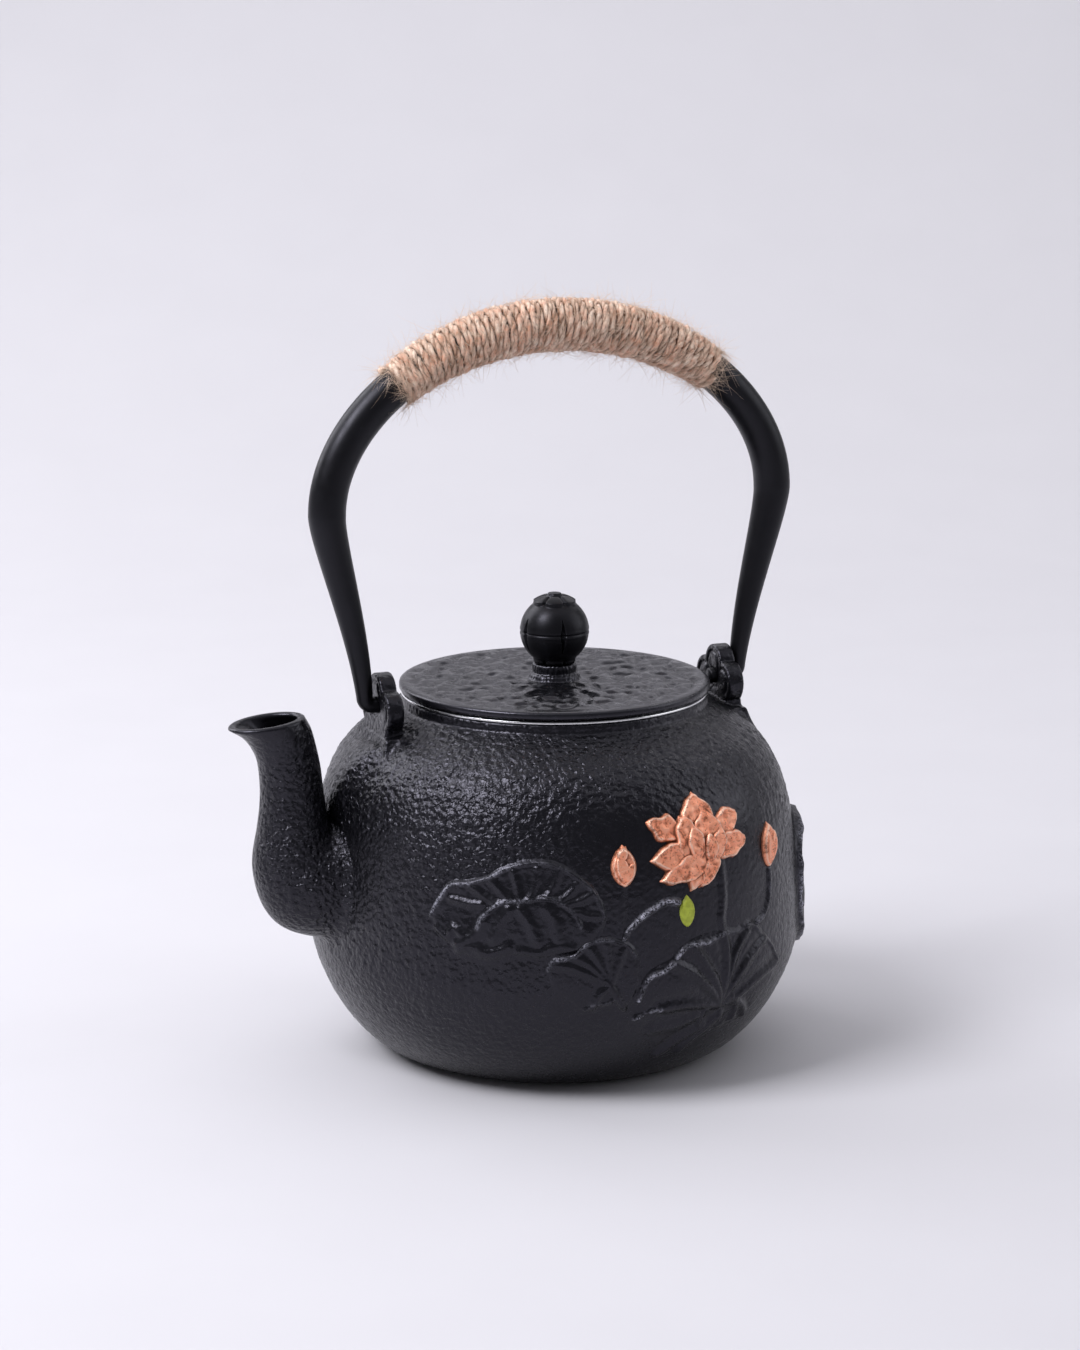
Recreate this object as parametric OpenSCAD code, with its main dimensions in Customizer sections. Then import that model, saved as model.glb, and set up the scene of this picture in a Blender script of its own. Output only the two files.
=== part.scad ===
// Cast-iron teapot with a lift-out steel infuser basket and a jute-wrapped bail handle.
// Frame: origin at the centre of the flat base, +Z up, spout towards -X, bail in the XZ plane.

/* [Pot body] */
// Largest radius of the body
body_r = 79.95; // [79:0.05:82]
// Height of the widest ring
belly_z = 40; // [38:0.5:42]
// Radius of the flat base
base_r = 48.9; // [47:0.1:50]
// Radius of the ridge where the shoulder meets the collar
shoulder_r = 51.2; // [51:0.1:52]
// Height of that ridge
shoulder_z = 113.2; // [113:0.1:113.6]
// Thickness of the cast wall
wall = 3.2; // [3:0.1:3.6]
// Outer radius of the mouth collar
collar_r = 50; // [49.8:0.1:50.4]
// Inner radius of the mouth
mouth_r = 45.6; // [45:0.1:46]
// Height of the mouth rim
mouth_z = 116.9; // [116.5:0.1:117.3]

/* [Spout] */
// Radius of the port through the body into the spout
port_r = 12; // [10:0.5:13]
// Height of the port
port_z = 61; // [60:0.5:62]
// Wall thickness of the spout at its root
spout_wall = 2.8; // [2.4:0.1:3]
// Wall thickness of the spout at its lip
lip_wall = 1.8; // [1.6:0.1:2.2]

/* [Handle lugs] */
// Distance from the axis to the outer face of a lug
lug_x = 62.1; // [61.6:0.1:62.2]
// Thickness of a lug plate
lug_t = 5.8; // [5:0.1:6]
// Height of the hinge axis
pivot_z = 117.3; // [116.8:0.1:117.8]
// Radius of the hole in a lug
lug_bore_r = 2.58; // [2.55:0.01:2.6]

/* [Bail handle] */
// Radius of the hooked ends that turn in the lugs
pin_r = 2.5; // [2.48:0.01:2.52]
// Radius of the bail through its crown
bail_r = 6; // [5.6:0.1:6.2]
// Half the width of the bail, measured to its centreline
bail_x = 77.2; // [76.5:0.1:78]
// Height at which the bail is widest
bail_wide_z = 179.3; // [177:0.1:181]
// Height of the centreline at the crown
bail_top_z = 236.2; // [232:0.1:238]
// Radius of the jute wrap at its middle
wrap_r = 8.7; // [8.2:0.1:9]
// Radius of the jute wrap at its ends
wrap_end_r = 7.3; // [7:0.1:7.8]

/* [Lid] */
// Radius of the lid plate
lid_r = 50.5; // [50:0.1:51]
// Thickness of the lid plate
lid_t = 2.6; // [2.4:0.1:3]
// Height of the lid's upper face
lid_top_z = 121; // [120.9:0.1:121.2]
// Outer radius of the locating ring under the lid
locator_r = 40; // [39.5:0.1:40.3]
// Depth of the locating ring below the plate
locator_h = 7.4; // [6:0.1:8]
// Radius of the ball knob
knob_r = 11.2; // [10.8:0.1:11.4]
// Height of the knob's centre
knob_z = 136.9; // [136.8:0.1:137.2]

/* [Infuser] */
// Outer radius of the infuser's flange
flange_r = 49.6; // [49:0.1:49.8]
// Thickness of the steel sheet of the rim
sheet_t = 0.8; // [0.7:0.1:0.8]
// Outer radius of the mesh wall
basket_r = 41.4; // [41:0.1:41.6]
// Thickness of the woven mesh
mesh_t = 0.5; // [0.4:0.1:0.6]
// Height of the underside of the basket
basket_z = 56.2; // [54:0.1:60]

/* [Relief] */
// Height of the cast leaves above the body
leaf_h = 1.3; // [1:0.1:1.6]
// Height of the copper flower above the body
flower_h = 3.2; // [2.8:0.1:3.6]
// Height of the copper buds above the body
bud_h = 2.4; // [2:0.1:2.8]

/* [Hidden] */
$fn = 96;

iron = [0.13, 0.13, 0.15];
satin_iron = [0.07, 0.07, 0.08];
steel = [0.76, 0.77, 0.78];
copper = [0.86, 0.54, 0.40];
leaf_green = [0.52, 0.62, 0.20];
jute = [0.72, 0.57, 0.43];

// Steps along each half of the body's outline
body_steps = 12;
// Straight run of the outline away from the base edge, and its rise
base_run = [18.9, 1.1];
// Length over which the outline is almost upright above and below the widest ring
belly_reach = [10, 60];
// Direction from the shoulder ridge down the shoulder
shoulder_run = [15.2, -9];

// Centreline stations of the spout: x, z, tilt of the section, half-length, half-width
spout_stations = [
  [-62, 61, 0, 18.8, 18.4],
  [-76, 61, 2, 18.6, 17.8],
  [-86.5, 64, 30, 18, 16],
  [-90.3, 72.2, 60, 14.6, 13.4],
  [-90, 81, 84, 11.6, 11.2],
  [-90.1, 90, 90, 10.3, 10],
  [-90.8, 99, 87, 9.9, 9.5],
  [-92.1, 105.2, 84, 9.9, 9.4],
  [-94.6, 110.8, 84, 10.9, 9.6],
  [-98.1, 114.4, 84, 12.5, 10]
];
spout_substeps = 3;
spout_sides = 24;

lid_under_z = lid_top_z - lid_t;
// Height of the flat under the ball, where it sits on the lid's boss
seat_z = knob_z - knob_r + 0.6;
flange_z = mouth_z + sheet_t;
// Height of the neck's lower edge, and how far the mesh reaches up behind it
neck_z = 108;
mesh_lap = 4;
band_h = 4.6;
screw_r = 1.45;
lid_hole_r = 1.7;
washer_t = 0.5;
screw_head_h = 2;
bail_sides = 16;
crown_steps = 32;
leg_steps = 14;
// Where the leg turns in towards its lug, and the ball that rounds the turn
elbow_x = 65.2;
elbow_r = 2.7;

// ---- curves ----

function bezier(p, t) =
  pow(1 - t, 3) * p[0] + 3 * t * pow(1 - t, 2) * p[1]
  + 3 * t * t * (1 - t) * p[2] + pow(t, 3) * p[3];

function bezier_slope(p, t) =
  pow(1 - t, 2) * (p[1] - p[0]) + 2 * t * (1 - t) * (p[2] - p[1]) + t * t * (p[3] - p[2]);

function outward(d) = [d[1], -d[0]] / norm(d);

function offset_bezier(p, grow, steps) =
  [for (i = [0 : steps]) bezier(p, i / steps) + grow * outward(bezier_slope(p, i / steps))];

// Smooth curve through stations p: value between stations i and i + 1
function through(p, i, t) =
  let (
    a = p[max(i - 1, 0)],
    b = p[i],
    c = p[i + 1],
    d = p[min(i + 2, len(p) - 1)]
  )
  0.5 * (2 * b + (c - a) * t + (2 * a - 5 * b + 4 * c - d) * t * t
  + (3 * b - a - 3 * c + d) * t * t * t);

function all_through(p, substeps) = concat(
  [for (i = [0 : len(p) - 2]) for (k = [0 : substeps - 1]) through(p, i, k / substeps)],
  [p[len(p) - 1]]
);

lower_outline = [
  [base_r, 0], [base_r, 0] + base_run, [body_r, belly_z - belly_reach[0]], [body_r, belly_z]
];
upper_outline = [
  [body_r, belly_z], [body_r, belly_z + belly_reach[1]],
  [shoulder_r, shoulder_z] + shoulder_run, [shoulder_r, shoulder_z]
];

function body_points(grow) = concat(
  offset_bezier(lower_outline, grow, body_steps),
  [for (i = [1 : body_steps]) offset_bezier(upper_outline, grow, body_steps)[i]]
);

// Closed skin over a chain of equal rings; loops back to the first ring when closed is true
module ring_skin(rings, closed) {
  count = len(rings);
  sides = len(rings[0]);
  last = closed ? count - 1 : count - 2;
  walls = [
    for (i = [0 : last]) for (j = [0 : sides - 1])
      let (a = i * sides, b = ((i + 1) % count) * sides, k = (j + 1) % sides)
      each [[a + j, b + k, a + k], [a + j, b + j, b + k]]
  ];
  ends = closed ? [] : [
    [for (j = [0 : sides - 1]) j],
    [for (j = [sides - 1 : -1 : 0]) (count - 1) * sides + j]
  ];
  polyhedron(points = [for (r = rings) each r], faces = concat(walls, ends), convexity = 8);
}

// ---- pot body ----

// Solid body grown by a distance along its own normal, without the mouth
module grown_body(grow) {
  points = body_points(grow);
  rotate_extrude() {
    polygon(concat(
      [[0, points[0][1]]],
      points,
      [[0, points[len(points) - 1][1]]]
    ));
  }
}

module vessel() {
  outer = body_points(0);
  inner = body_points(-wall);
  rim_round = 0.8;
  cutter_l = 20;
  color(iron)
  difference() {
    rotate_extrude() {
      polygon(concat(
        [[0, 0]],
        outer,
        [
          [collar_r, shoulder_z + rim_round],
          [collar_r, mouth_z - rim_round],
          [collar_r - rim_round, mouth_z],
          [mouth_r + rim_round, mouth_z],
          [mouth_r, mouth_z - rim_round],
          [mouth_r, shoulder_z - wall]
        ],
        [for (i = [len(inner) - 1 : -1 : 0]) inner[i]],
        [[0, wall]]
      ));
    }
    translate([-body_r - cutter_l / 4, 0, port_z]) {
      rotate([0, 90, 0]) {
        cylinder(r = port_r, h = cutter_l);
      }
    }
  }
}

// Ring of the spout at a station, shrunk by a wall thickness; the section leans by the tilt
function spout_ring(s, shrink) = [
  for (j = [0 : spout_sides - 1])
    let (
      a = 360 * j / spout_sides,
      u = (s[3] - shrink) * cos(a),
      v = (s[4] - shrink) * sin(a)
    )
    [s[0] + u * sin(s[2]), v, s[1] + u * cos(s[2])]
];

module spout() {
  stations = all_through(spout_stations, spout_substeps);
  last = len(stations) - 1;
  outer = [for (s = stations) spout_ring(s, 0)];
  inner = [
    for (i = [last : -1 : 0])
      spout_ring(stations[i], spout_wall + (lip_wall - spout_wall) * i / last)
  ];
  color(iron)
  difference() {
    ring_skin(concat(outer, inner), true);
    grown_body(0);
  }
}

// Outline of a lug across Y and up Z: a cloud of three lobes on a stepped foot
module lug_outline() {
  top_lobe_r = 6.6;
  side_lobe_r = 6.4;
  lobe_top = 128;
  side_lobe_y = 6.8;
  side_lobe_z = 116.4;
  waist_z = 110.1;
  waist_h = 12;
  step_w = 21;
  step_z = 107.9;
  step_h = 3.2;
  foot_w = 26;
  foot_z = 88.3;
  foot_h = 20;
  translate([0, lobe_top - top_lobe_r]) circle(r = top_lobe_r);
  for (side = [-1, 1]) {
    translate([side * side_lobe_y, side_lobe_z]) circle(r = side_lobe_r);
  }
  translate([-side_lobe_y, waist_z]) square([2 * side_lobe_y, waist_h]);
  translate([-step_w / 2, step_z]) square([step_w, step_h]);
  translate([-foot_w / 2, foot_z]) square([foot_w, foot_h]);
}

// Lug on the side given by its sign along X
module lug(side) {
  color(iron)
  difference() {
    translate([side * (lug_x - lug_t / 2) - lug_t / 2, 0, 0]) {
      rotate([90, 0, 90]) {
        linear_extrude(height = lug_t) lug_outline();
      }
    }
    grown_body(0);
    translate([side * (lug_x - lug_t / 2), 0, pivot_z]) {
      rotate([0, 90, 0]) {
        cylinder(r = lug_bore_r, h = 2 * lug_t, center = true);
      }
    }
  }
}

module spout_side_lug() {
  lug(-1);
}

module rear_lug() {
  lug(1);
}

// ---- relief: places are an angle from -Y towards +X, and a height ----

// Cuts an outline into a skin of height h on the body, around the angle and height given
module relief(angle, z, h) {
  reach = 100;
  difference() {
    intersection() {
      grown_body(h);
      rotate([0, 0, angle]) {
        translate([0, 0, z]) {
          rotate([90, 0, 0]) {
            linear_extrude(height = reach) children();
          }
        }
      }
    }
    grown_body(0);
  }
}

// Oval leaf whose edge waves in and out
module wavy_oval(half_w, half_h, waves, depth) {
  polygon([
    for (a = [0 : 10 : 350])
      let (k = 1 + depth * cos(waves * a))
      [half_w * k * cos(a), half_h * k * sin(a)]
  ]);
}

// Pointed petal along +Y from the origin
module petal(length, half_w) {
  polygon([
    [0, 0], [half_w * 0.7, length * 0.2], [half_w, length * 0.5],
    [half_w * 0.6, length * 0.8], [0, length],
    [-half_w * 0.6, length * 0.8], [-half_w, length * 0.5], [-half_w * 0.7, length * 0.2]
  ]);
}

module leaf_round() {
  color(iron) relief(-31, 64.5, leaf_h) wavy_oval(28, 14.5, 6, 0.03);
}

module leaf_small() {
  color(iron) relief(-14, 44.8, leaf_h) wavy_oval(15, 7.3, 5, 0.03);
}

module leaf_fan() {
  color(iron) relief(19, 32.5, leaf_h) wavy_oval(29, 18.5, 7, 0.04);
}

module leaf_side() {
  color(iron) relief(72, 54, 2 * leaf_h) wavy_oval(18, 22, 5, 0.05);
}

module lotus_flower() {
  heart_r = 8.4;
  // Outer petals: turn from upright, length, half-width
  fan = [
    [0, 16, 6.2], [-67, 19, 4.2], [-94, 19.8, 4.6], [66, 20.6, 4.4], [100, 19.2, 4.8],
    [122, 19.2, 4.6], [158, 15.6, 4.2], [172, 14.6, 4]
  ];
  color(copper)
  relief(14.5, 82.3, flower_h) {
    circle(r = heart_r);
    for (f = fan) {
      rotate(f[0]) petal(f[1], f[2]);
    }
  }
}

module bud(angle, z) {
  bud_l = 13.4;
  bud_w = 4.2;
  color(copper)
  relief(angle, z - bud_l / 2, bud_h) {
    petal(bud_l, bud_w);
  }
}

module lotus_bud_front() {
  bud(-6.4, 78);
}

module lotus_bud_side() {
  bud(39, 75);
}

module green_sepal() {
  color(leaf_green)
  relief(9.2, 56.8, leaf_h) {
    petal(10.2, 2.8);
  }
}

// ---- infuser ----

module infuser_rim() {
  neck_r = basket_r + sheet_t;
  color(steel)
  rotate_extrude() {
    polygon([
      [basket_r, neck_z],
      [neck_r, neck_z],
      [neck_r, mouth_z],
      [flange_r, mouth_z],
      [flange_r, flange_z],
      [basket_r, flange_z]
    ]);
  }
}

module infuser_wall() {
  low_z = basket_z + sheet_t + mesh_t;
  color(steel)
  difference() {
    translate([0, 0, low_z]) cylinder(r = basket_r, h = neck_z + mesh_lap - low_z);
    translate([0, 0, basket_z]) cylinder(r = basket_r - mesh_t, h = neck_z);
  }
}

module infuser_base_band() {
  band_r = basket_r + sheet_t;
  lip_in = 3.2;
  color(steel)
  rotate_extrude() {
    polygon([
      [basket_r - lip_in, basket_z],
      [band_r, basket_z],
      [band_r, basket_z + band_h],
      [basket_r, basket_z + band_h],
      [basket_r, basket_z + sheet_t],
      [basket_r - lip_in, basket_z + sheet_t]
    ]);
  }
}

module infuser_base_mesh() {
  color(steel)
  translate([0, 0, basket_z + sheet_t]) {
    cylinder(r = basket_r, h = mesh_t);
  }
}

// ---- lid ----

module lid_plate() {
  edge = 0.8;
  land_in = 43.5;
  land_out = 48.4;
  locator_t = 2.6;
  boss_foot_r = 8;
  boss_neck_r = 6.7;
  boss_cap_r = 7.6;
  boss_foot_h = 2.2;
  color(iron)
  rotate_extrude() {
    polygon([
      [lid_hole_r, lid_under_z],
      [locator_r - locator_t, lid_under_z],
      [locator_r - locator_t, lid_under_z - locator_h],
      [locator_r, lid_under_z - locator_h],
      [locator_r, lid_under_z],
      [land_in, lid_under_z],
      [land_in, flange_z],
      [land_out, flange_z],
      [land_out, lid_under_z],
      [lid_r - edge / 2, lid_under_z],
      [lid_r, lid_under_z + edge / 2],
      [lid_r, lid_top_z - edge],
      [lid_r - edge * 0.3, lid_top_z - edge * 0.3],
      [lid_r - edge, lid_top_z],
      [boss_foot_r + edge, lid_top_z],
      [boss_foot_r, lid_top_z + edge],
      [boss_neck_r, lid_top_z + boss_foot_h],
      [boss_neck_r, seat_z - 2 * edge],
      [boss_cap_r, seat_z - edge],
      [boss_cap_r, seat_z],
      [lid_hole_r, seat_z]
    ]);
  }
}

module lid_knob() {
  calyx_z = 144.1;
  lobes = 6;
  lobe_r = 2.4;
  lobe_ring_r = 4.1;
  lobe_h = 4.5;
  stub_r = 2.3;
  stub_h = 5.3;
  screw_fit = 0.05;
  screw_depth = 10;
  color(satin_iron)
  difference() {
    union() {
      translate([0, 0, knob_z]) sphere(r = knob_r);
      for (i = [0 : lobes - 1]) {
        rotate([0, 0, 360 / lobes * i]) {
          translate([lobe_ring_r, 0, calyx_z]) cylinder(r = lobe_r, h = lobe_h);
        }
      }
      translate([0, 0, calyx_z]) cylinder(r = stub_r, h = stub_h);
    }
    translate([0, 0, seat_z - knob_r]) cylinder(r = knob_r, h = knob_r);
    translate([0, 0, seat_z - 1]) cylinder(r = screw_r + screw_fit, h = screw_depth + 1);
  }
}

module knob_screw() {
  head_z = lid_under_z - washer_t - screw_head_h;
  head_r = 2.8;
  slot_w = 0.8;
  slot_depth = 0.9;
  shank_top_z = knob_z - 2;
  color(steel)
  difference() {
    union() {
      translate([0, 0, head_z]) cylinder(r = head_r, h = screw_head_h);
      translate([0, 0, head_z]) cylinder(r = screw_r, h = shank_top_z - head_z);
    }
    translate([-2 * head_r, -slot_w / 2, head_z - 1]) {
      cube([4 * head_r, slot_w, slot_depth + 1]);
    }
  }
}

module knob_washer() {
  washer_r = 3.6;
  color(steel)
  translate([0, 0, lid_under_z - washer_t]) {
    difference() {
      cylinder(r = washer_r, h = washer_t);
      translate([0, 0, -1]) cylinder(r = lid_hole_r, h = washer_t + 2);
    }
  }
}

// ---- bail handle ----

crown = [
  [0, bail_top_z], [44.2, bail_top_z], [bail_x, bail_wide_z + 28.2], [bail_x, bail_wide_z]
];
leg = [
  [bail_x, bail_wide_z], [bail_x, bail_wide_z - 9], [elbow_x + 1, pivot_z + 22], [elbow_x, pivot_z]
];

// Radius of the bail at a height on its leg: full at the widest point, tapering to the pin
function leg_radius(z) =
  pin_r + (bail_r - pin_r) * (z - pivot_z) / (bail_wide_z - pivot_z);

// Half of the bail from the crown's middle to the elbow: point, slope of the path, radius
half_bail = concat(
  [for (i = [0 : crown_steps])
    let (t = i / crown_steps)
    [bezier(crown, t), bezier_slope(crown, t), bail_r]],
  [for (i = [1 : leg_steps])
    let (t = i / leg_steps, p = bezier(leg, t))
    [p, bezier_slope(leg, t), leg_radius(p[1])]]
);

// Ring across the path on the side given by its sign along X
function bail_ring(p, slope, r, side) =
  let (n = outward(slope))
  [for (j = [0 : bail_sides - 1])
    let (a = 360 * j / bail_sides)
    [side * (p[0] + r * cos(a) * n[0]), r * sin(a), p[1] + r * cos(a) * n[1]]];

module handle_bail() {
  count = len(half_bail);
  pin_past_lug = 1.4;
  pin_in = lug_x - lug_t - pin_past_lug;
  rings = concat(
    [for (i = [count - 1 : -1 : 1]) let (s = half_bail[i]) bail_ring(s[0], s[1], s[2], -1)],
    [for (s = half_bail) bail_ring(s[0], s[1], s[2], 1)]
  );
  color(satin_iron)
  union() {
    ring_skin(rings, false);
    for (side = [-1, 1]) {
      translate([side * elbow_x, 0, pivot_z]) sphere(r = elbow_r);
      translate([side * (pin_in + elbow_x) / 2, 0, pivot_z]) {
        rotate([0, 90, 0]) {
          cylinder(r = pin_r, h = elbow_x - pin_in, center = true);
        }
      }
    }
  }
}

module jute_wrap() {
  // Share of the crown's curve that the wrap covers, and its clearance from the bail
  reach = 0.5;
  gap = 0.04;
  wrap_steps = reach * crown_steps;
  stations = [for (i = [-wrap_steps : wrap_steps]) i / wrap_steps];
  function swell(s) = wrap_r - (wrap_r - wrap_end_r) * pow(abs(s), 3);
  function ring_at(s, r) =
    let (t = abs(s) * reach, side = s < 0 ? -1 : 1)
    bail_ring(bezier(crown, t), bezier_slope(crown, t), r, side);
  outer = [for (s = stations) ring_at(s, swell(s))];
  inner = [for (i = [len(stations) - 1 : -1 : 0]) ring_at(stations[i], bail_r + gap)];
  color(jute) ring_skin(concat(outer, inner), true);
}

vessel();
spout();
spout_side_lug();
rear_lug();
leaf_round();
leaf_small();
leaf_fan();
leaf_side();
lotus_flower();
lotus_bud_front();
lotus_bud_side();
green_sepal();
infuser_rim();
infuser_wall();
infuser_base_band();
infuser_base_mesh();
lid_plate();
lid_knob();
knob_screw();
knob_washer();
handle_bail();
jute_wrap();
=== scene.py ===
"""Looks of a cast-iron teapot with a lift-out infuser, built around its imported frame.

Shapes are worked out in millimetres in the frame's axes, and scaled to metres when a mesh is made.
Angles around the pot are in degrees, measured from -Y towards +X.
"""

import math

import bpy
import numpy as np
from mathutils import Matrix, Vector


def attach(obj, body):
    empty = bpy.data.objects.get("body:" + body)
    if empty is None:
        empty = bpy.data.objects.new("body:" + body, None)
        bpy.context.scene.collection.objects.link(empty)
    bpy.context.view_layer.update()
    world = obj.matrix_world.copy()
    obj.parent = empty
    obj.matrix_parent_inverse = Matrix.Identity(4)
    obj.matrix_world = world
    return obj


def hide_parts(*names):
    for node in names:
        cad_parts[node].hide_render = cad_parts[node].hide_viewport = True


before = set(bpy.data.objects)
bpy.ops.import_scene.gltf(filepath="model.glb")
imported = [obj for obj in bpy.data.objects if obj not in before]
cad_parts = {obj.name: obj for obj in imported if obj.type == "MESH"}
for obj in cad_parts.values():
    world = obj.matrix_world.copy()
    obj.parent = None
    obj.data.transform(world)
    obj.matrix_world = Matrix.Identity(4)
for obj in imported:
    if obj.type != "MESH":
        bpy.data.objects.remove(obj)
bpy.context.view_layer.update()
MM = 0.001
RNG = np.random.default_rng(11)

# ---------------------------------------------------------------- sizes, in millimetres

BODY_R = 79.95
BELLY_Z = 40.0
BASE_R = 48.9
SHOULDER_R, SHOULDER_Z = 51.2, 113.2
WALL = 3.2
COLLAR_R = 50.0
MOUTH_R, MOUTH_Z = 45.6, 116.9
PORT_R, PORT_Z = 12.0, 61.0
LUG_X, LUG_T = 62.1, 5.8
PIVOT_Z = 117.3
LUG_BORE_R = 2.58
PIN_R, BAIL_R = 2.5, 6.0
BAIL_X, BAIL_WIDE_Z, BAIL_TOP_Z = 77.2, 179.3, 236.2
ELBOW_X = 65.2
LID_R, LID_T, LID_TOP_Z = 50.5, 2.6, 121.0
KNOB_R, KNOB_Z = 11.2, 136.9
BASKET_R, BASKET_Z = 41.4, 56.2
NECK_Z = 108.0

LOWER_OUTLINE = [(BASE_R, 0), (BASE_R + 18.9, 1.1), (BODY_R, BELLY_Z - 10), (BODY_R, BELLY_Z)]
UPPER_OUTLINE = [
    (BODY_R, BELLY_Z),
    (BODY_R, BELLY_Z + 60),
    (SHOULDER_R + 15.2, SHOULDER_Z - 9),
    (SHOULDER_R, SHOULDER_Z),
]
CROWN = [
    (0, BAIL_TOP_Z),
    (44.2, BAIL_TOP_Z),
    (BAIL_X, BAIL_WIDE_Z + 28.2),
    (BAIL_X, BAIL_WIDE_Z),
]
LEG = [
    (BAIL_X, BAIL_WIDE_Z),
    (BAIL_X, BAIL_WIDE_Z - 9),
    (ELBOW_X + 1, PIVOT_Z + 22),
    (ELBOW_X, PIVOT_Z),
]
# Spout stations: x, z, tilt of the section, half-length, half-width
SPOUT = np.array([
    (-62, 61, 0, 18.8, 18.4),
    (-76, 61, 2, 18.6, 17.8),
    (-86.5, 64, 30, 18, 16),
    (-90.3, 72.2, 60, 14.6, 13.4),
    (-90, 81, 84, 11.6, 11.2),
    (-90.1, 90, 90, 10.3, 10),
    (-90.8, 99, 87, 9.9, 9.5),
    (-92.1, 105.2, 84, 9.9, 9.4),
    (-94.6, 110.8, 84, 10.9, 9.6),
    (-98.1, 114.4, 84, 12.5, 10),
])


# ---------------------------------------------------------------- curves and surfaces

def bezier(p, t):
    """Points of a cubic curve at the values t."""
    p = np.asarray(p, float)
    t = np.asarray(t, float)[..., None]
    u = 1 - t
    return u**3 * p[0] + 3 * t * u**2 * p[1] + 3 * t**2 * u * p[2] + t**3 * p[3]


def unit(v):
    """The same vectors, each of length one."""
    return v / np.linalg.norm(v, axis=-1, keepdims=True)


def bezier_slope(p, t):
    """Direction of a cubic curve at the values t."""
    p = np.asarray(p, float)
    t = np.asarray(t, float)[..., None]
    u = 1 - t
    return unit(u**2 * (p[1] - p[0]) + 2 * t * u * (p[2] - p[1]) + t**2 * (p[3] - p[2]))


def through(points, steps):
    """A smooth curve through the points, with that many steps between neighbours."""
    p = np.asarray(points, float)
    out = []
    for i in range(len(p) - 1):
        a, b, c, d = p[max(i - 1, 0)], p[i], p[i + 1], p[min(i + 2, len(p) - 1)]
        for t in np.arange(steps) / steps:
            out.append(0.5 * (2 * b + (c - a) * t + (2 * a - 5 * b + 4 * c - d) * t * t
                              + (3 * b - a - 3 * c + d) * t**3))
    out.append(p[-1])
    return np.array(out)


def closed_through(points, steps):
    """A smooth closed curve through the points."""
    p = np.asarray(points, float)
    ring = np.vstack([p[-1], p, p[0], p[1]])
    curve = through(ring, steps)
    return curve[steps:-steps - 1]


def run_along(path):
    """Distance along a polyline at each of its points."""
    return np.concatenate([[0], np.cumsum(np.linalg.norm(np.diff(path, axis=0), axis=1))])


def look_up(x, xs, table):
    """Every column of a table, interpolated at x."""
    return np.stack([np.interp(x, xs, column) for column in np.transpose(table)], axis=-1)


def resample(line, count):
    """The same polyline with evenly spaced points."""
    run = run_along(line)
    return look_up(np.linspace(0, run[-1], count), run, line)


def smooth_step(low, high, x):
    """Rises smoothly from 0 at low to 1 at high."""
    t = np.clip((x - low) / (high - low), 0, 1)
    return t * t * (3 - 2 * t)


def bell(x, width):
    """Smooth hump of height 1 about x = 0."""
    return np.exp(-((x / width) ** 2))


def wrap_angle(a):
    """The same angle between -180 and 180 degrees."""
    return (np.asarray(a) + 180) % 360 - 180


def body_table():
    """The body's outline as arc length, radius, height and outward normal."""
    t = np.linspace(0, 1, 400)
    p = np.vstack([bezier(LOWER_OUTLINE, t), bezier(UPPER_OUTLINE, t)[1:]])
    d = np.vstack([bezier_slope(LOWER_OUTLINE, t), bezier_slope(UPPER_OUTLINE, t)[1:]])
    return run_along(p), p[:, 0], p[:, 1], d[:, 1], -d[:, 0]


BODY_S, BODY_RS, BODY_ZS, BODY_NR, BODY_NZ = body_table()


def outline_at(s, h):
    """Radius and height of the body's outline at arc lengths, h outside its surface."""
    return (np.interp(s, BODY_S, BODY_RS) + h * np.interp(s, BODY_S, BODY_NR),
            np.interp(s, BODY_S, BODY_ZS) + h * np.interp(s, BODY_S, BODY_NZ))


def on_body(angle, s, h):
    """Point at an angle and arc length, h above the body's surface."""
    r, z = outline_at(s, h)
    a = np.radians(angle)
    return np.stack([r * np.sin(a), -r * np.cos(a), z], axis=-1)


def s_at(z):
    """Arc length at which the body's outline reaches a height."""
    return np.interp(z, BODY_ZS, BODY_S)


def body_distance(points):
    """Distance outside the body's outline, negative inside, close to the surface."""
    r = np.hypot(points[..., 0], points[..., 1])
    z = points[..., 2]
    surface_r = np.interp(z, BODY_ZS, BODY_RS)
    lean = np.interp(z, BODY_ZS, BODY_NR)
    # Past the outline's end the surface is taken to run straight on, with this normal
    above = (z - SHOULDER_Z) * 0.86 + (r - SHOULDER_R) * 0.51
    return np.where(z > SHOULDER_Z, np.maximum(above, 0), (r - surface_r) * lean)


NOISE_SPREAD = 0.45  # how far the noise strays from its main wavelength, as a share of it


def grid_noise(rows, cols, row_mm, col_mm, wavelength, rng):
    """Random field of one main wavelength on a grid that wraps round; its spread is 1."""
    white = rng.standard_normal((rows, cols))
    kr = np.fft.fftfreq(rows, row_mm)[:, None]
    kc = np.fft.fftfreq(cols, col_mm)[None, :]
    k = np.hypot(kr, kc) * wavelength
    shaped = np.fft.ifft2(np.fft.fft2(white) * bell(k - 1, NOISE_SPREAD)).real
    return shaped / shaped.std()


# ---------------------------------------------------------------- meshes

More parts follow.
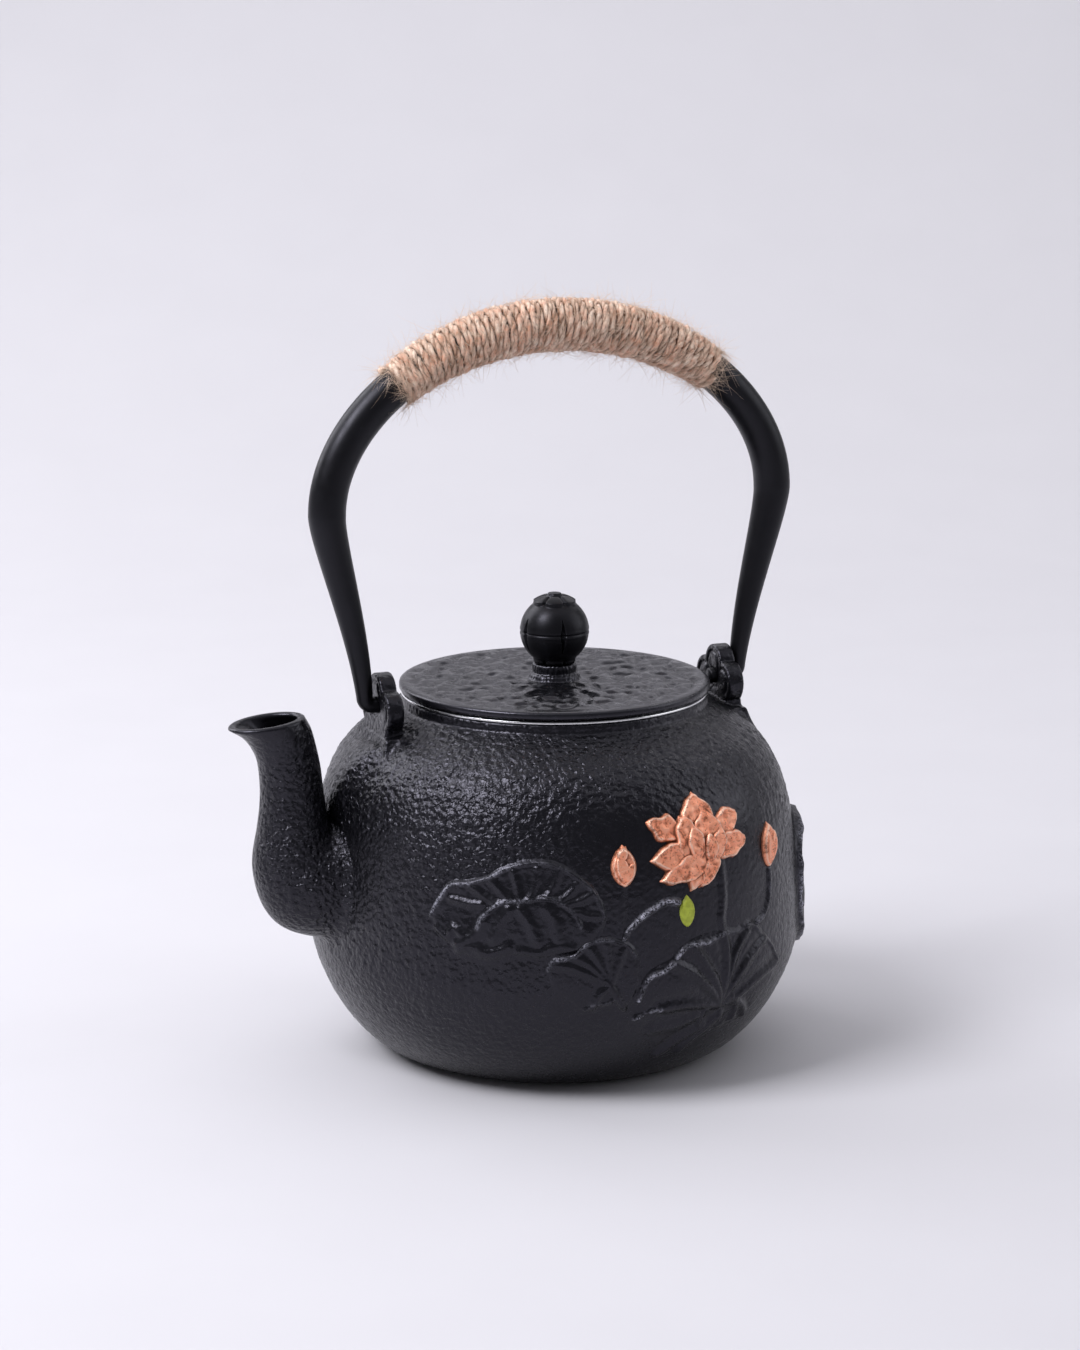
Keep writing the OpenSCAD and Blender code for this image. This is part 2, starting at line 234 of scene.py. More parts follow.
def add_mesh(name, points, faces, uv=None, values=None):
    """Mesh object from points in millimetres and a list of index arrays, one per face size."""
    points = np.asarray(points, np.float64) * MM
    mesh = bpy.data.meshes.new(name)
    faces = [np.asarray(f, np.int32) for f in faces if len(f)]
    loops = np.concatenate([f.ravel() for f in faces])
    totals = np.concatenate([np.full(len(f), f.shape[1], np.int32) for f in faces])
    starts = np.concatenate([[0], np.cumsum(totals)[:-1]]).astype(np.int32)
    mesh.vertices.add(len(points))
    mesh.vertices.foreach_set("co", points.astype(np.float32).ravel())
    mesh.loops.add(len(loops))
    mesh.loops.foreach_set("vertex_index", loops)
    mesh.polygons.add(len(totals))
    mesh.polygons.foreach_set("loop_start", starts)
    mesh.polygons.foreach_set("loop_total", totals)
    mesh.polygons.foreach_set("use_smooth", np.ones(len(totals), bool))
    mesh.update(calc_edges=True)
    mesh.validate()
    if uv is not None:
        layer = mesh.uv_layers.new(name="strand")
        index = np.zeros(len(mesh.loops), np.int32)
        mesh.loops.foreach_get("vertex_index", index)
        layer.data.foreach_set("uv", np.asarray(uv, np.float32)[index].ravel())
    for key, value in (values or {}).items():
        layer = mesh.attributes.new(key, "FLOAT", "POINT")
        layer.data.foreach_set("value", np.asarray(value, np.float32).ravel())
    obj = bpy.data.objects.new(name, mesh)
    bpy.context.scene.collection.objects.link(obj)
    return obj


def piece(obj, body, slot, material, *nodes):
    """Finishes a visible piece: its material, its body and the nodes it replaces. The slot is not
    used.
    """
    obj.data.materials.append(material)
    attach(obj, body)
    if nodes:
        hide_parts(*nodes)


def ring_quads(rings, sides, close_rings=False):
    """Quads between closed rings of points laid out ring after ring."""
    i = np.arange(rings if close_rings else rings - 1)[:, None]
    j = np.arange(sides)[None, :]
    a = i * sides + j
    b = i * sides + (j + 1) % sides
    c = ((i + 1) % rings) * sides + (j + 1) % sides
    d = ((i + 1) % rings) * sides + j
    return np.stack([a, b, c, d], axis=-1).reshape(-1, 4)


def end_caps(rings, sides):
    """Triangles that close the first and last ring with two points stored after the rings."""
    j = np.arange(sides)
    k = (j + 1) % sides
    last = (rings - 1) * sides
    middle = np.full(sides, rings * sides)
    return np.vstack([np.stack([middle, k, j], axis=1),
                      np.stack([middle + 1, last + j, last + k], axis=1)])


def merged(parts):
    """One mesh from several, each given as its points and its index arrays."""
    starts = np.cumsum([0] + [len(points) for points, _ in parts])
    kinds = range(len(parts[0][1]))
    faces = [np.vstack([f[kind] + n for (_, f), n in zip(parts, starts)]) for kind in kinds]
    return np.vstack([points for points, _ in parts]), faces


def lathe(profile, angles, lift):
    """Closed surface of revolution about Z. The profile runs from one pole to the other.

    lift is added along the profile's normal, for each ring and angle.
    """
    slope = np.gradient(profile, axis=0)
    slope /= np.maximum(np.linalg.norm(slope, axis=1, keepdims=True), 1e-9)
    rings = profile[1:-1]
    r = rings[:, :1] + slope[1:-1, 1:] * lift
    z = rings[:, 1:] - slope[1:-1, :1] * lift
    a = np.radians(angles)
    points = np.stack([r * np.sin(a), -r * np.cos(a), z], axis=-1).reshape(-1, 3)
    points = np.vstack([points, [[0, 0, profile[0, 1]], [0, 0, profile[-1, 1]]]])
    return points, [ring_quads(len(rings), len(a)), end_caps(len(rings), len(a))]


def sweep(centres, across, up, radii, sides, caps=True):
    """Tube of rings about centres, in the plane of the unit vectors across and up."""
    a = np.linspace(0, 2 * np.pi, sides, endpoint=False)
    r = np.broadcast_to(np.asarray(radii, float), (len(centres),))[:, None, None]
    points = (centres[:, None, :] + r * np.cos(a)[None, :, None] * across[:, None, :]
              + r * np.sin(a)[None, :, None] * up[:, None, :]).reshape(-1, 3)
    faces = [ring_quads(len(centres), sides)]
    if caps:
        points = np.vstack([points, centres[:1], centres[-1:]])
        faces.append(end_caps(len(centres), sides))
    return points, faces


def frames_along(path, start_up):
    """Unit vectors across a path, carried along it without twisting."""
    tangent = unit(np.gradient(path, axis=0))
    carried = np.asarray(start_up, float)
    up = []
    for t in tangent:
        carried = unit(carried - t * np.dot(carried, t))
        up.append(carried)
    return np.cross(up, tangent), np.array(up)


def space_grid(low, high, step):
    """Coordinates of a block of evenly spaced points, as three arrays."""
    return np.meshgrid(*[np.arange(a, b, step) for a, b in zip(low, high)], indexing="ij")


def surface_net(field, origin, step):
    """Mesh where the field crosses zero; the field is negative inside."""
    inside = field < 0
    shape = tuple(n - 1 for n in field.shape)
    offsets = [(i, j, k) for i in (0, 1) for j in (0, 1) for k in (0, 1)]

    def corner(array, o):
        return array[o[0]:o[0] + shape[0], o[1]:o[1] + shape[1], o[2]:o[2] + shape[2]]

    count = sum(corner(inside, o).astype(np.int8) for o in offsets)
    crossed = (count > 0) & (count < 8)
    index = np.full(shape, -1, np.int64)
    index[crossed] = np.arange(crossed.sum())
    total = np.zeros((crossed.sum(), 3))
    hits = np.zeros(crossed.sum())
    for a in offsets:
        for axis in range(3):
            if a[axis]:
                continue
            b = tuple(v + (n == axis) for n, v in enumerate(a))
            fa = corner(field, a)[crossed]
            fb = corner(field, b)[crossed]
            cut = (fa < 0) != (fb < 0)
            t = np.where(cut, fa / np.where(cut, fa - fb, 1), 0)
            point = np.array(a, float) + t[:, None] * np.eye(3)[axis]
            total += np.where(cut[:, None], point, 0)
            hits += cut
    cells = np.argwhere(crossed)
    points = (cells + total / hits[:, None]) * step + np.asarray(origin)
    quads = []
    for axis in range(3):
        u, v = (axis + 1) % 3, (axis + 2) % 3
        low = [slice(1, -1)] * 3
        low[axis] = slice(0, -1)
        high = list(low)
        high[axis] = slice(1, None)
        a = inside[tuple(low)]
        b = inside[tuple(high)]
        where = np.argwhere(a != b)
        where[:, u] += 1
        where[:, v] += 1
        flip = b[tuple((where - np.array([int(n != axis) for n in range(3)])).T)]
        du = np.eye(3, dtype=int)[u]
        dv = np.eye(3, dtype=int)[v]
        quad = np.stack([
            index[tuple((where - du - dv).T)], index[tuple((where - dv).T)],
            index[tuple(where.T)], index[tuple((where - du).T)],
        ], axis=1)
        quad[flip] = quad[flip][:, ::-1]
        quads.append(quad)
    return points, [np.vstack(quads)]


# ---------------------------------------------------------------- materials

class Nodes:
    """A material's node tree, with short ways to add and link nodes."""

    def __init__(self, name):
        self.material = bpy.data.materials.new(name)
        self.material.use_nodes = True
        self.tree = self.material.node_tree
        self.shader = self.tree.nodes["Principled BSDF"]
        self.place = self.new("ShaderNodeTexCoord").outputs["Object"]

    def put(self, socket, value):
        """Links another node's output to a socket, or sets the socket's own value."""
        if isinstance(value, bpy.types.NodeSocket):
            self.tree.links.new(value, socket)
        elif isinstance(value, tuple) and len(value) < len(socket.default_value):
            socket.default_value = (*value, 1)
        else:
            socket.default_value = value

    def new(self, kind, **settings):
        """Adds a node. Each setting goes to the socket of that name, or else to the node."""
        node = self.tree.nodes.new(kind)
        for key, value in settings.items():
            if key in node.inputs:
                self.put(node.inputs[key], value)
            else:
                setattr(node, key, value)
        return node

    def noise(self, size_mm, detail=3.0, roughness=0.5, distortion=0.0, vector=None):
        """Noise whose blobs are about that many millimetres across."""
        node = self.new("ShaderNodeTexNoise", Scale=1 / (size_mm * MM), Detail=detail,
                        Roughness=roughness, Distortion=distortion, Vector=vector or self.place)
        return node.outputs["Fac"]

    def cells(self, size_mm):
        """Soft cells about that many millimetres across."""
        node = self.new("ShaderNodeTexVoronoi", feature="SMOOTH_F1", Scale=1 / (size_mm * MM),
                        Vector=self.place)
        return node.outputs["Distance"]

    def ramp(self, value, *stops):
        """Turns a value into a grey, from two stops of a place and a grey each."""
        node = self.new("ShaderNodeValToRGB", Fac=value)
        for element, (place, grey) in zip(node.color_ramp.elements, stops):
            element.position = place
            element.color = (grey, grey, grey, 1)
        return node.outputs["Color"]

    def mix(self, fac, a, b):
        """Colour a turning into colour b as fac goes from 0 to 1."""
        node = self.new("ShaderNodeMix", data_type="RGBA")
        for socket, value in zip((node.inputs[0], node.inputs[6], node.inputs[7]), (fac, a, b)):
            self.put(socket, value)
        return node.outputs[2]

    def math(self, operation, a, b):
        """Arithmetic on two values."""
        node = self.new("ShaderNodeMath", operation=operation)
        self.put(node.inputs[0], a)
        self.put(node.inputs[1], b)
        return node.outputs[0]

    def attribute(self, name):
        """A value that the mesh carries at each point."""
        return self.new("ShaderNodeAttribute", attribute_name=name).outputs["Fac"]

    def bump(self, height, depth_mm, strength=1.0, below=None):
        """Bump of that depth, on top of another one where that is given."""
        node = self.new("ShaderNodeBump", Distance=depth_mm * MM, Strength=strength, Height=height)
        if below is not None:
            self.put(node.inputs["Normal"], below)
        return node.outputs["Normal"]

    def finish(self, **sockets):
        """Fills the shader's sockets and gives back the material."""
        for key, value in sockets.items():
            self.put(self.shader.inputs[key.replace("_", " ")], value)
        return self.material


def cast_iron(name, grain_depth, use_grain, shine):
    """Black coated iron with the pebbled skin of a sand casting.

    With use_grain, the mesh says how strong the grain is and where its edges are worn; the worn edges
    are tinted pale bluish grey, real wear drawn with a painted highlight.
    """
    n = Nodes(name)
    black = (0.0022, 0.0022, 0.0030)
    pebbles = n.math("MULTIPLY", n.cells(1.7), 0.9)
    peel = n.math("MULTIPLY", n.noise(1.5, detail=2, distortion=0.5), 0.9)
    height = n.math("ADD", pebbles, peel)
    skin = n.bump(height, grain_depth, n.attribute("grain") if use_grain else 1.0)
    fine = n.bump(n.noise(0.5, detail=2, roughness=0.6), 0.014, 0.7, below=skin)
    tint = n.mix(n.ramp(n.noise(5.0, detail=2), (0.35, 0.0), (0.7, 1.0)), black,
                 tuple(c * 1.45 for c in black))
    # Painted shade: the low parts of the grain are painted darker.
    low = n.ramp(height, (0.35, 1.0), (0.75, 0.0))
    tint = n.mix(n.math("MULTIPLY", low, 0.35), tint, tuple(c * 0.5 for c in black))
    rough = n.ramp(n.noise(2.6, detail=4), (0.3, 0.24), (0.7, 0.34))
    if use_grain:
        # Worn edges: real wear, tinted pale bluish grey as a painted highlight.
        speckle = n.ramp(n.noise(0.7, detail=4, roughness=0.7), (0.45, 0.0), (0.55, 1.0))
        patchy = n.ramp(n.noise(4.5, detail=2), (0.40, 0.15), (0.60, 1.0))
        rubbed_sheen = n.math("MULTIPLY", n.math("MULTIPLY", n.attribute("worn"), speckle), patchy)
        tint = n.mix(rubbed_sheen, tint, (0.45, 0.45, 0.53))
    return n.finish(Base_Color=tint, Roughness=rough, Normal=fine, Specular_IOR_Level=shine,
                    Specular_Tint=(0.86, 0.84, 1.0))


def satin_iron(name):
    """Smooth black iron with a soft sheen."""
    n = Nodes(name)
    tint = n.mix(n.ramp(n.noise(14, detail=3), (0.3, 0.0), (0.7, 1.0)),
                 (0.0022, 0.0022, 0.0027), (0.0042, 0.0042, 0.0050))
    rough = n.ramp(n.noise(3.0, detail=5), (0.3, 0.32), (0.7, 0.42))
    fine = n.bump(n.noise(0.7, detail=4, roughness=0.65), 0.02, 0.7)
    soft = n.bump(n.noise(9.0, detail=1), 0.25, 0.35, below=fine)
    return n.finish(Base_Color=tint, Roughness=rough, Normal=soft, Specular_IOR_Level=0.28,
                    Specular_Tint=(0.88, 0.87, 1.0))


def steel(name):
    """Stainless steel with fine streaks."""
    n = Nodes(name)
    stretch = n.new("ShaderNodeMapping", Scale=(1, 1, 14), Vector=n.place)
    streaks = n.noise(1.2, detail=4, vector=stretch.outputs["Vector"])
    tint = n.mix(streaks, (0.80, 0.80, 0.81), (0.93, 0.935, 0.95))
    rough = n.ramp(streaks, (0.3, 0.12), (0.7, 0.24))
    fine = n.bump(streaks, 0.01, 0.6)
    return n.finish(Base_Color=tint, Roughness=rough, Metallic=1.0, Normal=fine)


def copper(name):
    """Copper leaf with black specks: bright, with brown painted shade in the grooves and a pale
    painted highlight on the raised edges.
    """
    n = Nodes(name)
    patches = n.noise(3.2, detail=5, roughness=0.62, distortion=0.8)
    flakes = n.noise(0.75, detail=4, roughness=0.7)
    bright = n.mix(n.ramp(patches, (0.35, 0.0), (0.66, 1.0)),
                   (1.0, 0.31, 0.16), (1.0, 0.46, 0.29))
    high = n.attribute("high")
    # Painted shade: the grooves between petals turn dark brown.
    tone = n.mix(n.ramp(high, (0.20, 0.0), (0.45, 1.0)), (0.23, 0.07, 0.03), bright)
    # Painted highlight: the raised edges turn pale.
    tone = n.mix(n.ramp(high, (0.60, 0.0), (0.85, 0.8)), tone, (1.0, 0.66, 0.50))
    brown = n.ramp(n.math("MULTIPLY", patches, flakes), (0.17, 1.0), (0.235, 0.0))
    tone = n.mix(n.math("MULTIPLY", brown, 0.75), tone, (0.20, 0.075, 0.035))
    specks = n.ramp(n.noise(1.5, detail=6, roughness=0.75), (0.315, 1.0), (0.345, 0.0))
    tone = n.mix(specks, tone, (0.018, 0.014, 0.013))
    rough = n.ramp(flakes, (0.3, 0.27), (0.7, 0.46))
    metal = n.ramp(specks, (0.0, 0.45), (1.0, 0.0))
    leaf = n.bump(flakes, 0.14, 0.9)
    leaf = n.bump(patches, 0.45, 0.8, below=leaf)
    return n.finish(Base_Color=tone, Roughness=rough, Metallic=metal, Normal=leaf)


def green_enamel(name):
    """Yellow-green enamel with a few dark chips."""
    n = Nodes(name)
    blotch = n.noise(1.6, detail=4)
    tint = n.mix(n.ramp(blotch, (0.35, 0.0), (0.65, 1.0)), (0.36, 0.42, 0.033), (0.50, 0.58, 0.055))
    chips = n.ramp(n.noise(0.9, detail=5, roughness=0.7), (0.30, 1.0), (0.34, 0.0))
    tint = n.mix(chips, tint, (0.03, 0.035, 0.012))
    fine = n.bump(blotch, 0.12, 0.7)
    return n.finish(Base_Color=tint, Roughness=0.55, Normal=fine)


def jute_hair(name):
    """Loose jute fibres, each pale or brown along its length."""
    n = Nodes(name)
    tint = n.mix(n.noise(4.0, detail=2), (0.46, 0.24, 0.13), (1.0, 0.86, 0.71))
    rough = n.ramp(n.noise(2.0), (0.3, 0.68), (0.7, 0.88))
    fuzz = n.bump(n.noise(0.4, detail=2), 0.03, 0.6)
    return n.finish(Base_Color=tint, Roughness=rough, Normal=fuzz)


def jute(name):
    """Natural jute: pale and dark fibres that run along each ply, with painted shade in the grooves.
    """
    n = Nodes(name)
    uv = n.new("ShaderNodeUVMap", uv_map="strand").outputs["UV"]
    stretch = n.new("ShaderNodeMapping", Scale=(1.0, 6.0, 1.0), Vector=uv).outputs["Vector"]
    strands = n.new("ShaderNodeTexNoise", Scale=1.3, Detail=5, Roughness=0.65,
                    Vector=stretch).outputs["Fac"]
    bundle = n.noise(3.2, detail=4, roughness=0.6)
    tone = n.mix(n.ramp(bundle, (0.34, 0.0), (0.62, 1.0)), (0.80, 0.42, 0.27), (1.0, 0.80, 0.65))
    tone = n.mix(n.ramp(strands, (0.34, 1.0), (0.48, 0.0)), tone, (0.27, 0.155, 0.095))
    tone = n.mix(n.ramp(strands, (0.60, 0.0), (0.74, 0.8)), tone, (0.95, 0.80, 0.66))
    # Painted shade: the low points of each ply, in the grooves, turn dark brown.
    tone = n.mix(n.ramp(n.attribute("high"), (0.20, 1.0), (0.70, 0.0)), tone, (0.32, 0.165, 0.09))
    return n.finish(Base_Color=tone, Roughness=0.85, Normal=n.bump(strands, 0.24),
                    Sheen_Weight=0.25)


IRON = cast_iron("cast_iron_skin", 0.66, use_grain=True, shine=0.43)
LID_IRON = cast_iron("lid_iron_skin", 0.06, use_grain=False, shine=0.55)
SATIN = satin_iron("satin_iron_skin")
STEEL = steel("stainless_steel_skin")
COPPER = copper("copper_leaf_skin")
GREEN = green_enamel("green_enamel_skin")
JUTE = jute("jute_ply")
JUTE_HAIR = jute_hair("jute_fibre")


# ---------------------------------------------------------------- pot body

def peel_amount(angle, z):
    """How strong the cast grain is at a place: full on the shoulder, less below and at the leaves."""
    quiet = np.exp(-(((angle - 14) / 33.0) ** 4)) * smooth_step(104, 86, z)
    low = smooth_step(2, 40, z) * 0.45 + 0.25 + 0.3 * smooth_step(55, 85, z)
    return np.clip(low * (1 - 0.78 * quiet), 0.1, 1)


def mound(angle, s):
    """Swelling of the shoulder that runs from the spout-side lug down to the spout's root."""
    root_z, top_z, root_angle, lean, height = 80, 104, -92, 9, 3.1
    front_width, back_width = 5.5, 15.0
    along = (s - s_at(root_z)) / (s_at(top_z) - s_at(root_z))
    off = wrap_angle(angle - (root_angle + lean * along))
    across = bell(off, np.where(off > 0, front_width, back_width))
    return height * across * smooth_step(-0.35, 0.25, along) * smooth_step(1.25, 0.85, along)


def make_vessel():
    """Hollow body with its collar, and the port through its wall into the spout."""
    sides, rings = 480, 156
    inside_grain, collar_grain = 0.75, 0.5
    angles = np.arange(sides) * 360 / sides
    s = np.linspace(0.8, BODY_S[-1] - 0.6, rings)
    outer = np.stack(outline_at(s, 0), axis=1)
    spacing = s[1] - s[0], 2 * np.pi * BODY_R / sides
    # Unevenness of the casting: depth and width of each kind
    skin = sum(depth * grid_noise(rings, sides, *spacing, width, RNG)
               for depth, width in ((0.085, 3.2), (0.05, 7.0), (0.10, 34.0)))
    grain = peel_amount(wrap_angle(angles)[None, :], outer[:, 1:])
    fade = smooth_step(0, 4, s)[:, None]
    outer_lift = skin * grain * fade + mound(wrap_angle(angles)[None, :], s[:, None])
    under = [(0, 0), (20, 0), (36, 0), (45, 0), (48.5, 0.05)]
    # Collar and mouth, going in: radius and height
    collar = [
        (SHOULDER_R - 0.2, SHOULDER_Z + 0.25), (COLLAR_R + 0.35, SHOULDER_Z + 0.55),
        (COLLAR_R, SHOULDER_Z + 1.1), (COLLAR_R, MOUTH_Z - 1.6), (COLLAR_R - 0.1, MOUTH_Z - 0.7),
        (COLLAR_R - 0.4, MOUTH_Z - 0.2), (COLLAR_R - 0.9, MOUTH_Z), (COLLAR_R - 2.2, MOUTH_Z),
        (MOUTH_R + 0.9, MOUTH_Z), (MOUTH_R + 0.3, MOUTH_Z - 0.2), (MOUTH_R, MOUTH_Z - 0.8),
        (MOUTH_R, SHOULDER_Z - 2.0), (MOUTH_R, SHOULDER_Z - WALL),
    ]
    inner = np.stack(outline_at(np.linspace(BODY_S[-1], 0, 26), -WALL), axis=1)
    floor = [(30, WALL), (10, WALL), (0, WALL)]
    profile = np.vstack([under, outer, collar, inner, floor])
    first = len(under) - 1
    lift = np.zeros((len(profile) - 2, sides))
    lift[first:first + rings] = outer_lift
    points, faces = lathe(profile, angles, lift)
    amount = np.full(len(points), inside_grain)
    rows = amount[:-2].reshape(-1, sides)
    rows[first:first + rings] = grain
    rows[first + rings:first + rings + len(collar)] = collar_grain
    obj = add_mesh("vessel_casting", points, faces, values={"grain": amount})
    port = add_mesh("port_cutter", *sweep(
        np.array([[-BODY_R - 6.0, 0, PORT_Z], [-BODY_R + 12.0, 0, PORT_Z]]),
        np.array([[0, 1.0, 0]] * 2), np.array([[0, 0, 1.0]] * 2), PORT_R, 48))
    cut = obj.modifiers.new("port", "BOOLEAN")
    cut.operation = "DIFFERENCE"
    cut.solver = "EXACT"
    cut.object = port
    bpy.context.view_layer.update()
    cut_obj = obj.evaluated_get(bpy.context.evaluated_depsgraph_get())
    shaped = bpy.data.meshes.new_from_object(cut_obj)
    obj.modifiers.clear()
    obj.data = shaped
    bpy.data.objects.remove(port)
    piece(obj, "pot", "cast_iron", IRON, "vessel")


# ---------------------------------------------------------------- spout

def spout_ring(station, shrink, angles):
    """Oval section of the spout, or of its bore when shrunk by the wall."""
    x, z, tilt, half_long, half_wide = station
    lean = math.radians(tilt)
    u = (half_long - shrink) * np.cos(angles)
    v = (half_wide - shrink) * np.sin(angles)
    return np.stack([x + u * math.sin(lean), v, z + u * math.cos(lean)], axis=-1)


def make_spout():
    """Hollow spout: a fillet on the body, the tube, a rounded lip and the bore."""
    sides = 96
    fillet_out, fillet_along = 4.2, 4.2
    fillet_rings, tube_rings, bore_rings = 9, 88, 60
    root_wall, lip_wall, lip_height = 2.8, 2.6, 0.95
    angles = np.arange(sides) * 2 * np.pi / sides
    stations = through(SPOUT, 14)
    count = len(stations)
    walls = root_wall + (lip_wall - root_wall) * np.arange(count) / (count - 1)
    outer = np.array([spout_ring(st, 0, angles) for st in stations])
    inner = np.array([spout_ring(st, w, angles) for st, w in zip(stations, walls)])
    centre = on_body(-90, s_at(PORT_Z), 0)
    tubes, fillets, bores = [], [], []
    for line, bore in zip(outer.swapaxes(0, 1), inner.swapaxes(0, 1)):
        out = body_distance(line)
        k = np.nonzero(out > 0)[0][0]
        t = out[k] / (out[k] - out[k - 1])
        joint = line[k] * (1 - t) + line[k - 1] * t
        rest = np.vstack([joint, line[k:]])
        run = run_along(rest)
        start = look_up(fillet_along, run, rest)
        tubes.append(resample(np.vstack([start, rest[run > fillet_along]]), tube_rings))
        radial = np.array([joint[0], joint[1], 0]) / np.hypot(joint[0], joint[1])
        normal = (radial * np.interp(joint[2], BODY_ZS, BODY_NR)
                  + np.array([0, 0, np.interp(joint[2], BODY_ZS, BODY_NZ)]))
        away = joint - centre
        away -= normal * np.dot(away, normal)
        foot = joint + away / np.linalg.norm(away) * fillet_out
        foot_angle = math.degrees(math.atan2(foot[0], -foot[1]))
        foot_s = s_at(foot[2])
        foot = on_body(foot_angle, foot_s, mound(foot_angle, foot_s) - 0.1)
        q = np.linspace(0, 1, fillet_rings, endpoint=False)[:, None]
        fillets.append((1 - q) ** 2 * foot + 2 * q * (1 - q) * joint + q**2 * start)
        kb = np.nonzero(body_distance(bore) > -1.2)[0][0]
        bores.append(resample(bore[kb:], bore_rings)[::-1])
    tubes, fillets, bores = [np.stack(lines, axis=1) for lines in (tubes, fillets, bores)]
    middle = (tubes[-1] + bores[0]) / 2
    half = (tubes[-1] - bores[0]) / 2
    lean = math.radians(SPOUT[-1][2])
    forward = np.array([-math.cos(lean), 0, math.sin(lean)])
    lips = [middle + half * math.cos(a) + forward * lip_height * math.sin(a)
            for a in np.radians([30, 60, 90, 120, 150])]
    rings = np.concatenate([fillets, tubes, np.array(lips), bores])
    # Cast grain: strong at the root, fading towards the lip, faint inside
    lip_ring = fillet_rings + tube_rings
    calm = np.interp(np.arange(len(rings)), [0, fillet_rings + tube_rings * 0.75, lip_ring],
                     [1.35, 1.15, 0.12])
    calm[lip_ring:] = 0.15
    obj = add_mesh("spout_casting", rings.reshape(-1, 3),
                   [ring_quads(len(rings), sides, close_rings=True)[:, ::-1]],
                   values={"grain": np.repeat(calm, sides)})
    piece(obj, "pot", "cast_iron", IRON, "spout")


# ---------------------------------------------------------------- lugs

def smooth_min(a, b, k):
    """The lower of two distances, blended over a width k where they meet."""
    h = np.clip(0.5 + 0.5 * (b - a) / k, 0, 1)
    return b * (1 - h) + a * h - k * h * (1 - h)


def both(a, b):
    """Distance from the overlap of two shapes whose sides are square to each other."""
    return np.hypot(np.maximum(a, 0), np.maximum(b, 0)) + np.minimum(np.maximum(a, b), 0)


def slab(y, z, cz, hy, hz):
    """Distance from a rectangle centred on y = 0, given by its half-sizes."""
    return both(np.abs(y) - hy, np.abs(z - cz) - hz)


def make_lug(side, name, node):
    """Cloud-shaped lug with its bore, blended into the body by a spreading foot."""
    step, edge, soft_corner = 0.36, 0.75, 0.3
    top_lobe_z, top_lobe_r = 121.3, 6.4
    side_lobe_y, side_lobe_z, side_lobe_r = 6.8, 116.3, 6.5
    foot_half_y, foot_top_z = 12.6, 110.0
    # The piece ends here: half-length in Y, half-thickness, bottom and top
    end_y, end_x, bottom_z, top_z = 19.6, 8.8, 93.0, 129.0
    margin = 1.0
    xc = side * (LUG_X - LUG_T / 2)
    low = np.array([xc - 9.5, -20.5, bottom_z - margin])
    x, y, z = space_grid(low, (xc + 9.5, 20.5, top_z + margin), step)
    out = (x - xc) * side
    lobes = np.hypot(y, z - top_lobe_z) - top_lobe_r
    for lobe_y in (-side_lobe_y, side_lobe_y):
        lobes = smooth_min(lobes, np.hypot(y - lobe_y, z - side_lobe_z) - side_lobe_r, 0.7)
    waist = slab(y, z, 112.5, 7.6, 3.6)
    tier = slab(y, z, 109.4, 10.4, 1.3) - soft_corner
    plan = smooth_min(smooth_min(lobes, waist, 0.9), tier, 0.7)
    spread = 0.40 * np.clip(foot_top_z - z, 0, 10)
    foot = slab(y, z, 98.0, foot_half_y + spread, 10.4) - soft_corner
    half_t = LUG_T / 2 - 0.15 + 0.35 * smooth_step(113, 109, z)
    upper = both(plan + edge, np.abs(out) - half_t + edge) - edge
    lower = both(foot + edge, np.abs(out) - half_t - 0.2 - 0.7 * spread + edge) - edge
    lug = smooth_min(upper, lower, 0.8)
    # Cloud motif: a channel follows the lobes on both faces, and a hollow surrounds the bore
    face = smooth_step(half_t - 1.6, half_t - 0.2, np.abs(out))
    channel = bell(plan + 2.3, 0.55) * smooth_step(112, 114, z)
    curl = bell(np.hypot(y, z - 121.6) - 5.0, 0.6) * smooth_step(121, 118.5, z)
    hollow = np.exp(-((np.hypot(y, z - PIVOT_Z + 0.6) / 4.0) ** 4))
    lug = lug + face * (0.55 * channel + 0.5 * curl + 0.55 * hollow)
    lug = np.maximum(lug, LUG_BORE_R - np.hypot(y, z - PIVOT_Z))
    body = body_distance(np.stack([x, y, z], axis=-1)) + 0.16
    shape = np.maximum(smooth_min(lug, body, 1.9), -(body + 0.9))
    for bound in (np.abs(y) - end_y, np.abs(out) - end_x, z - top_z, bottom_z - z):
        shape = np.maximum(shape, bound)
    points, faces = surface_net(shape, low, step)
    calm = 0.42 + 0.4 * smooth_step(116, 106, points[:, 2])
    piece(add_mesh(name, points, faces, values={"grain": calm}), "pot", "cast_iron", IRON, node)


# ---------------------------------------------------------------- lid

def hammered(x, y, rng):
    """Hammer marks: soft irregular hollows about 8 mm apart, with slightly crisp crests."""
    step = 0.8
    count = 2 * int(LID_R / step) + 8
    broad = grid_noise(count, count, step, step, 8.2, rng)
    fine = grid_noise(count, count, step, step, 4.6, rng)
    field = 0.36 * broad + 0.14 * fine
    field = field - 0.13 * np.abs(broad)
    gx = x / step + count / 2
    gy = y / step + count / 2
    i = np.floor(gx).astype(int)
    j = np.floor(gy).astype(int)
    a = gx - i
    b = gy - j
    a = a * a * (3 - 2 * a)
    b = b * b * (3 - 2 * b)
    return ((1 - a) * (1 - b) * field[i, j] + a * (1 - b) * field[i + 1, j]
            + (1 - a) * b * field[i, j + 1] + a * b * field[i + 1, j + 1])


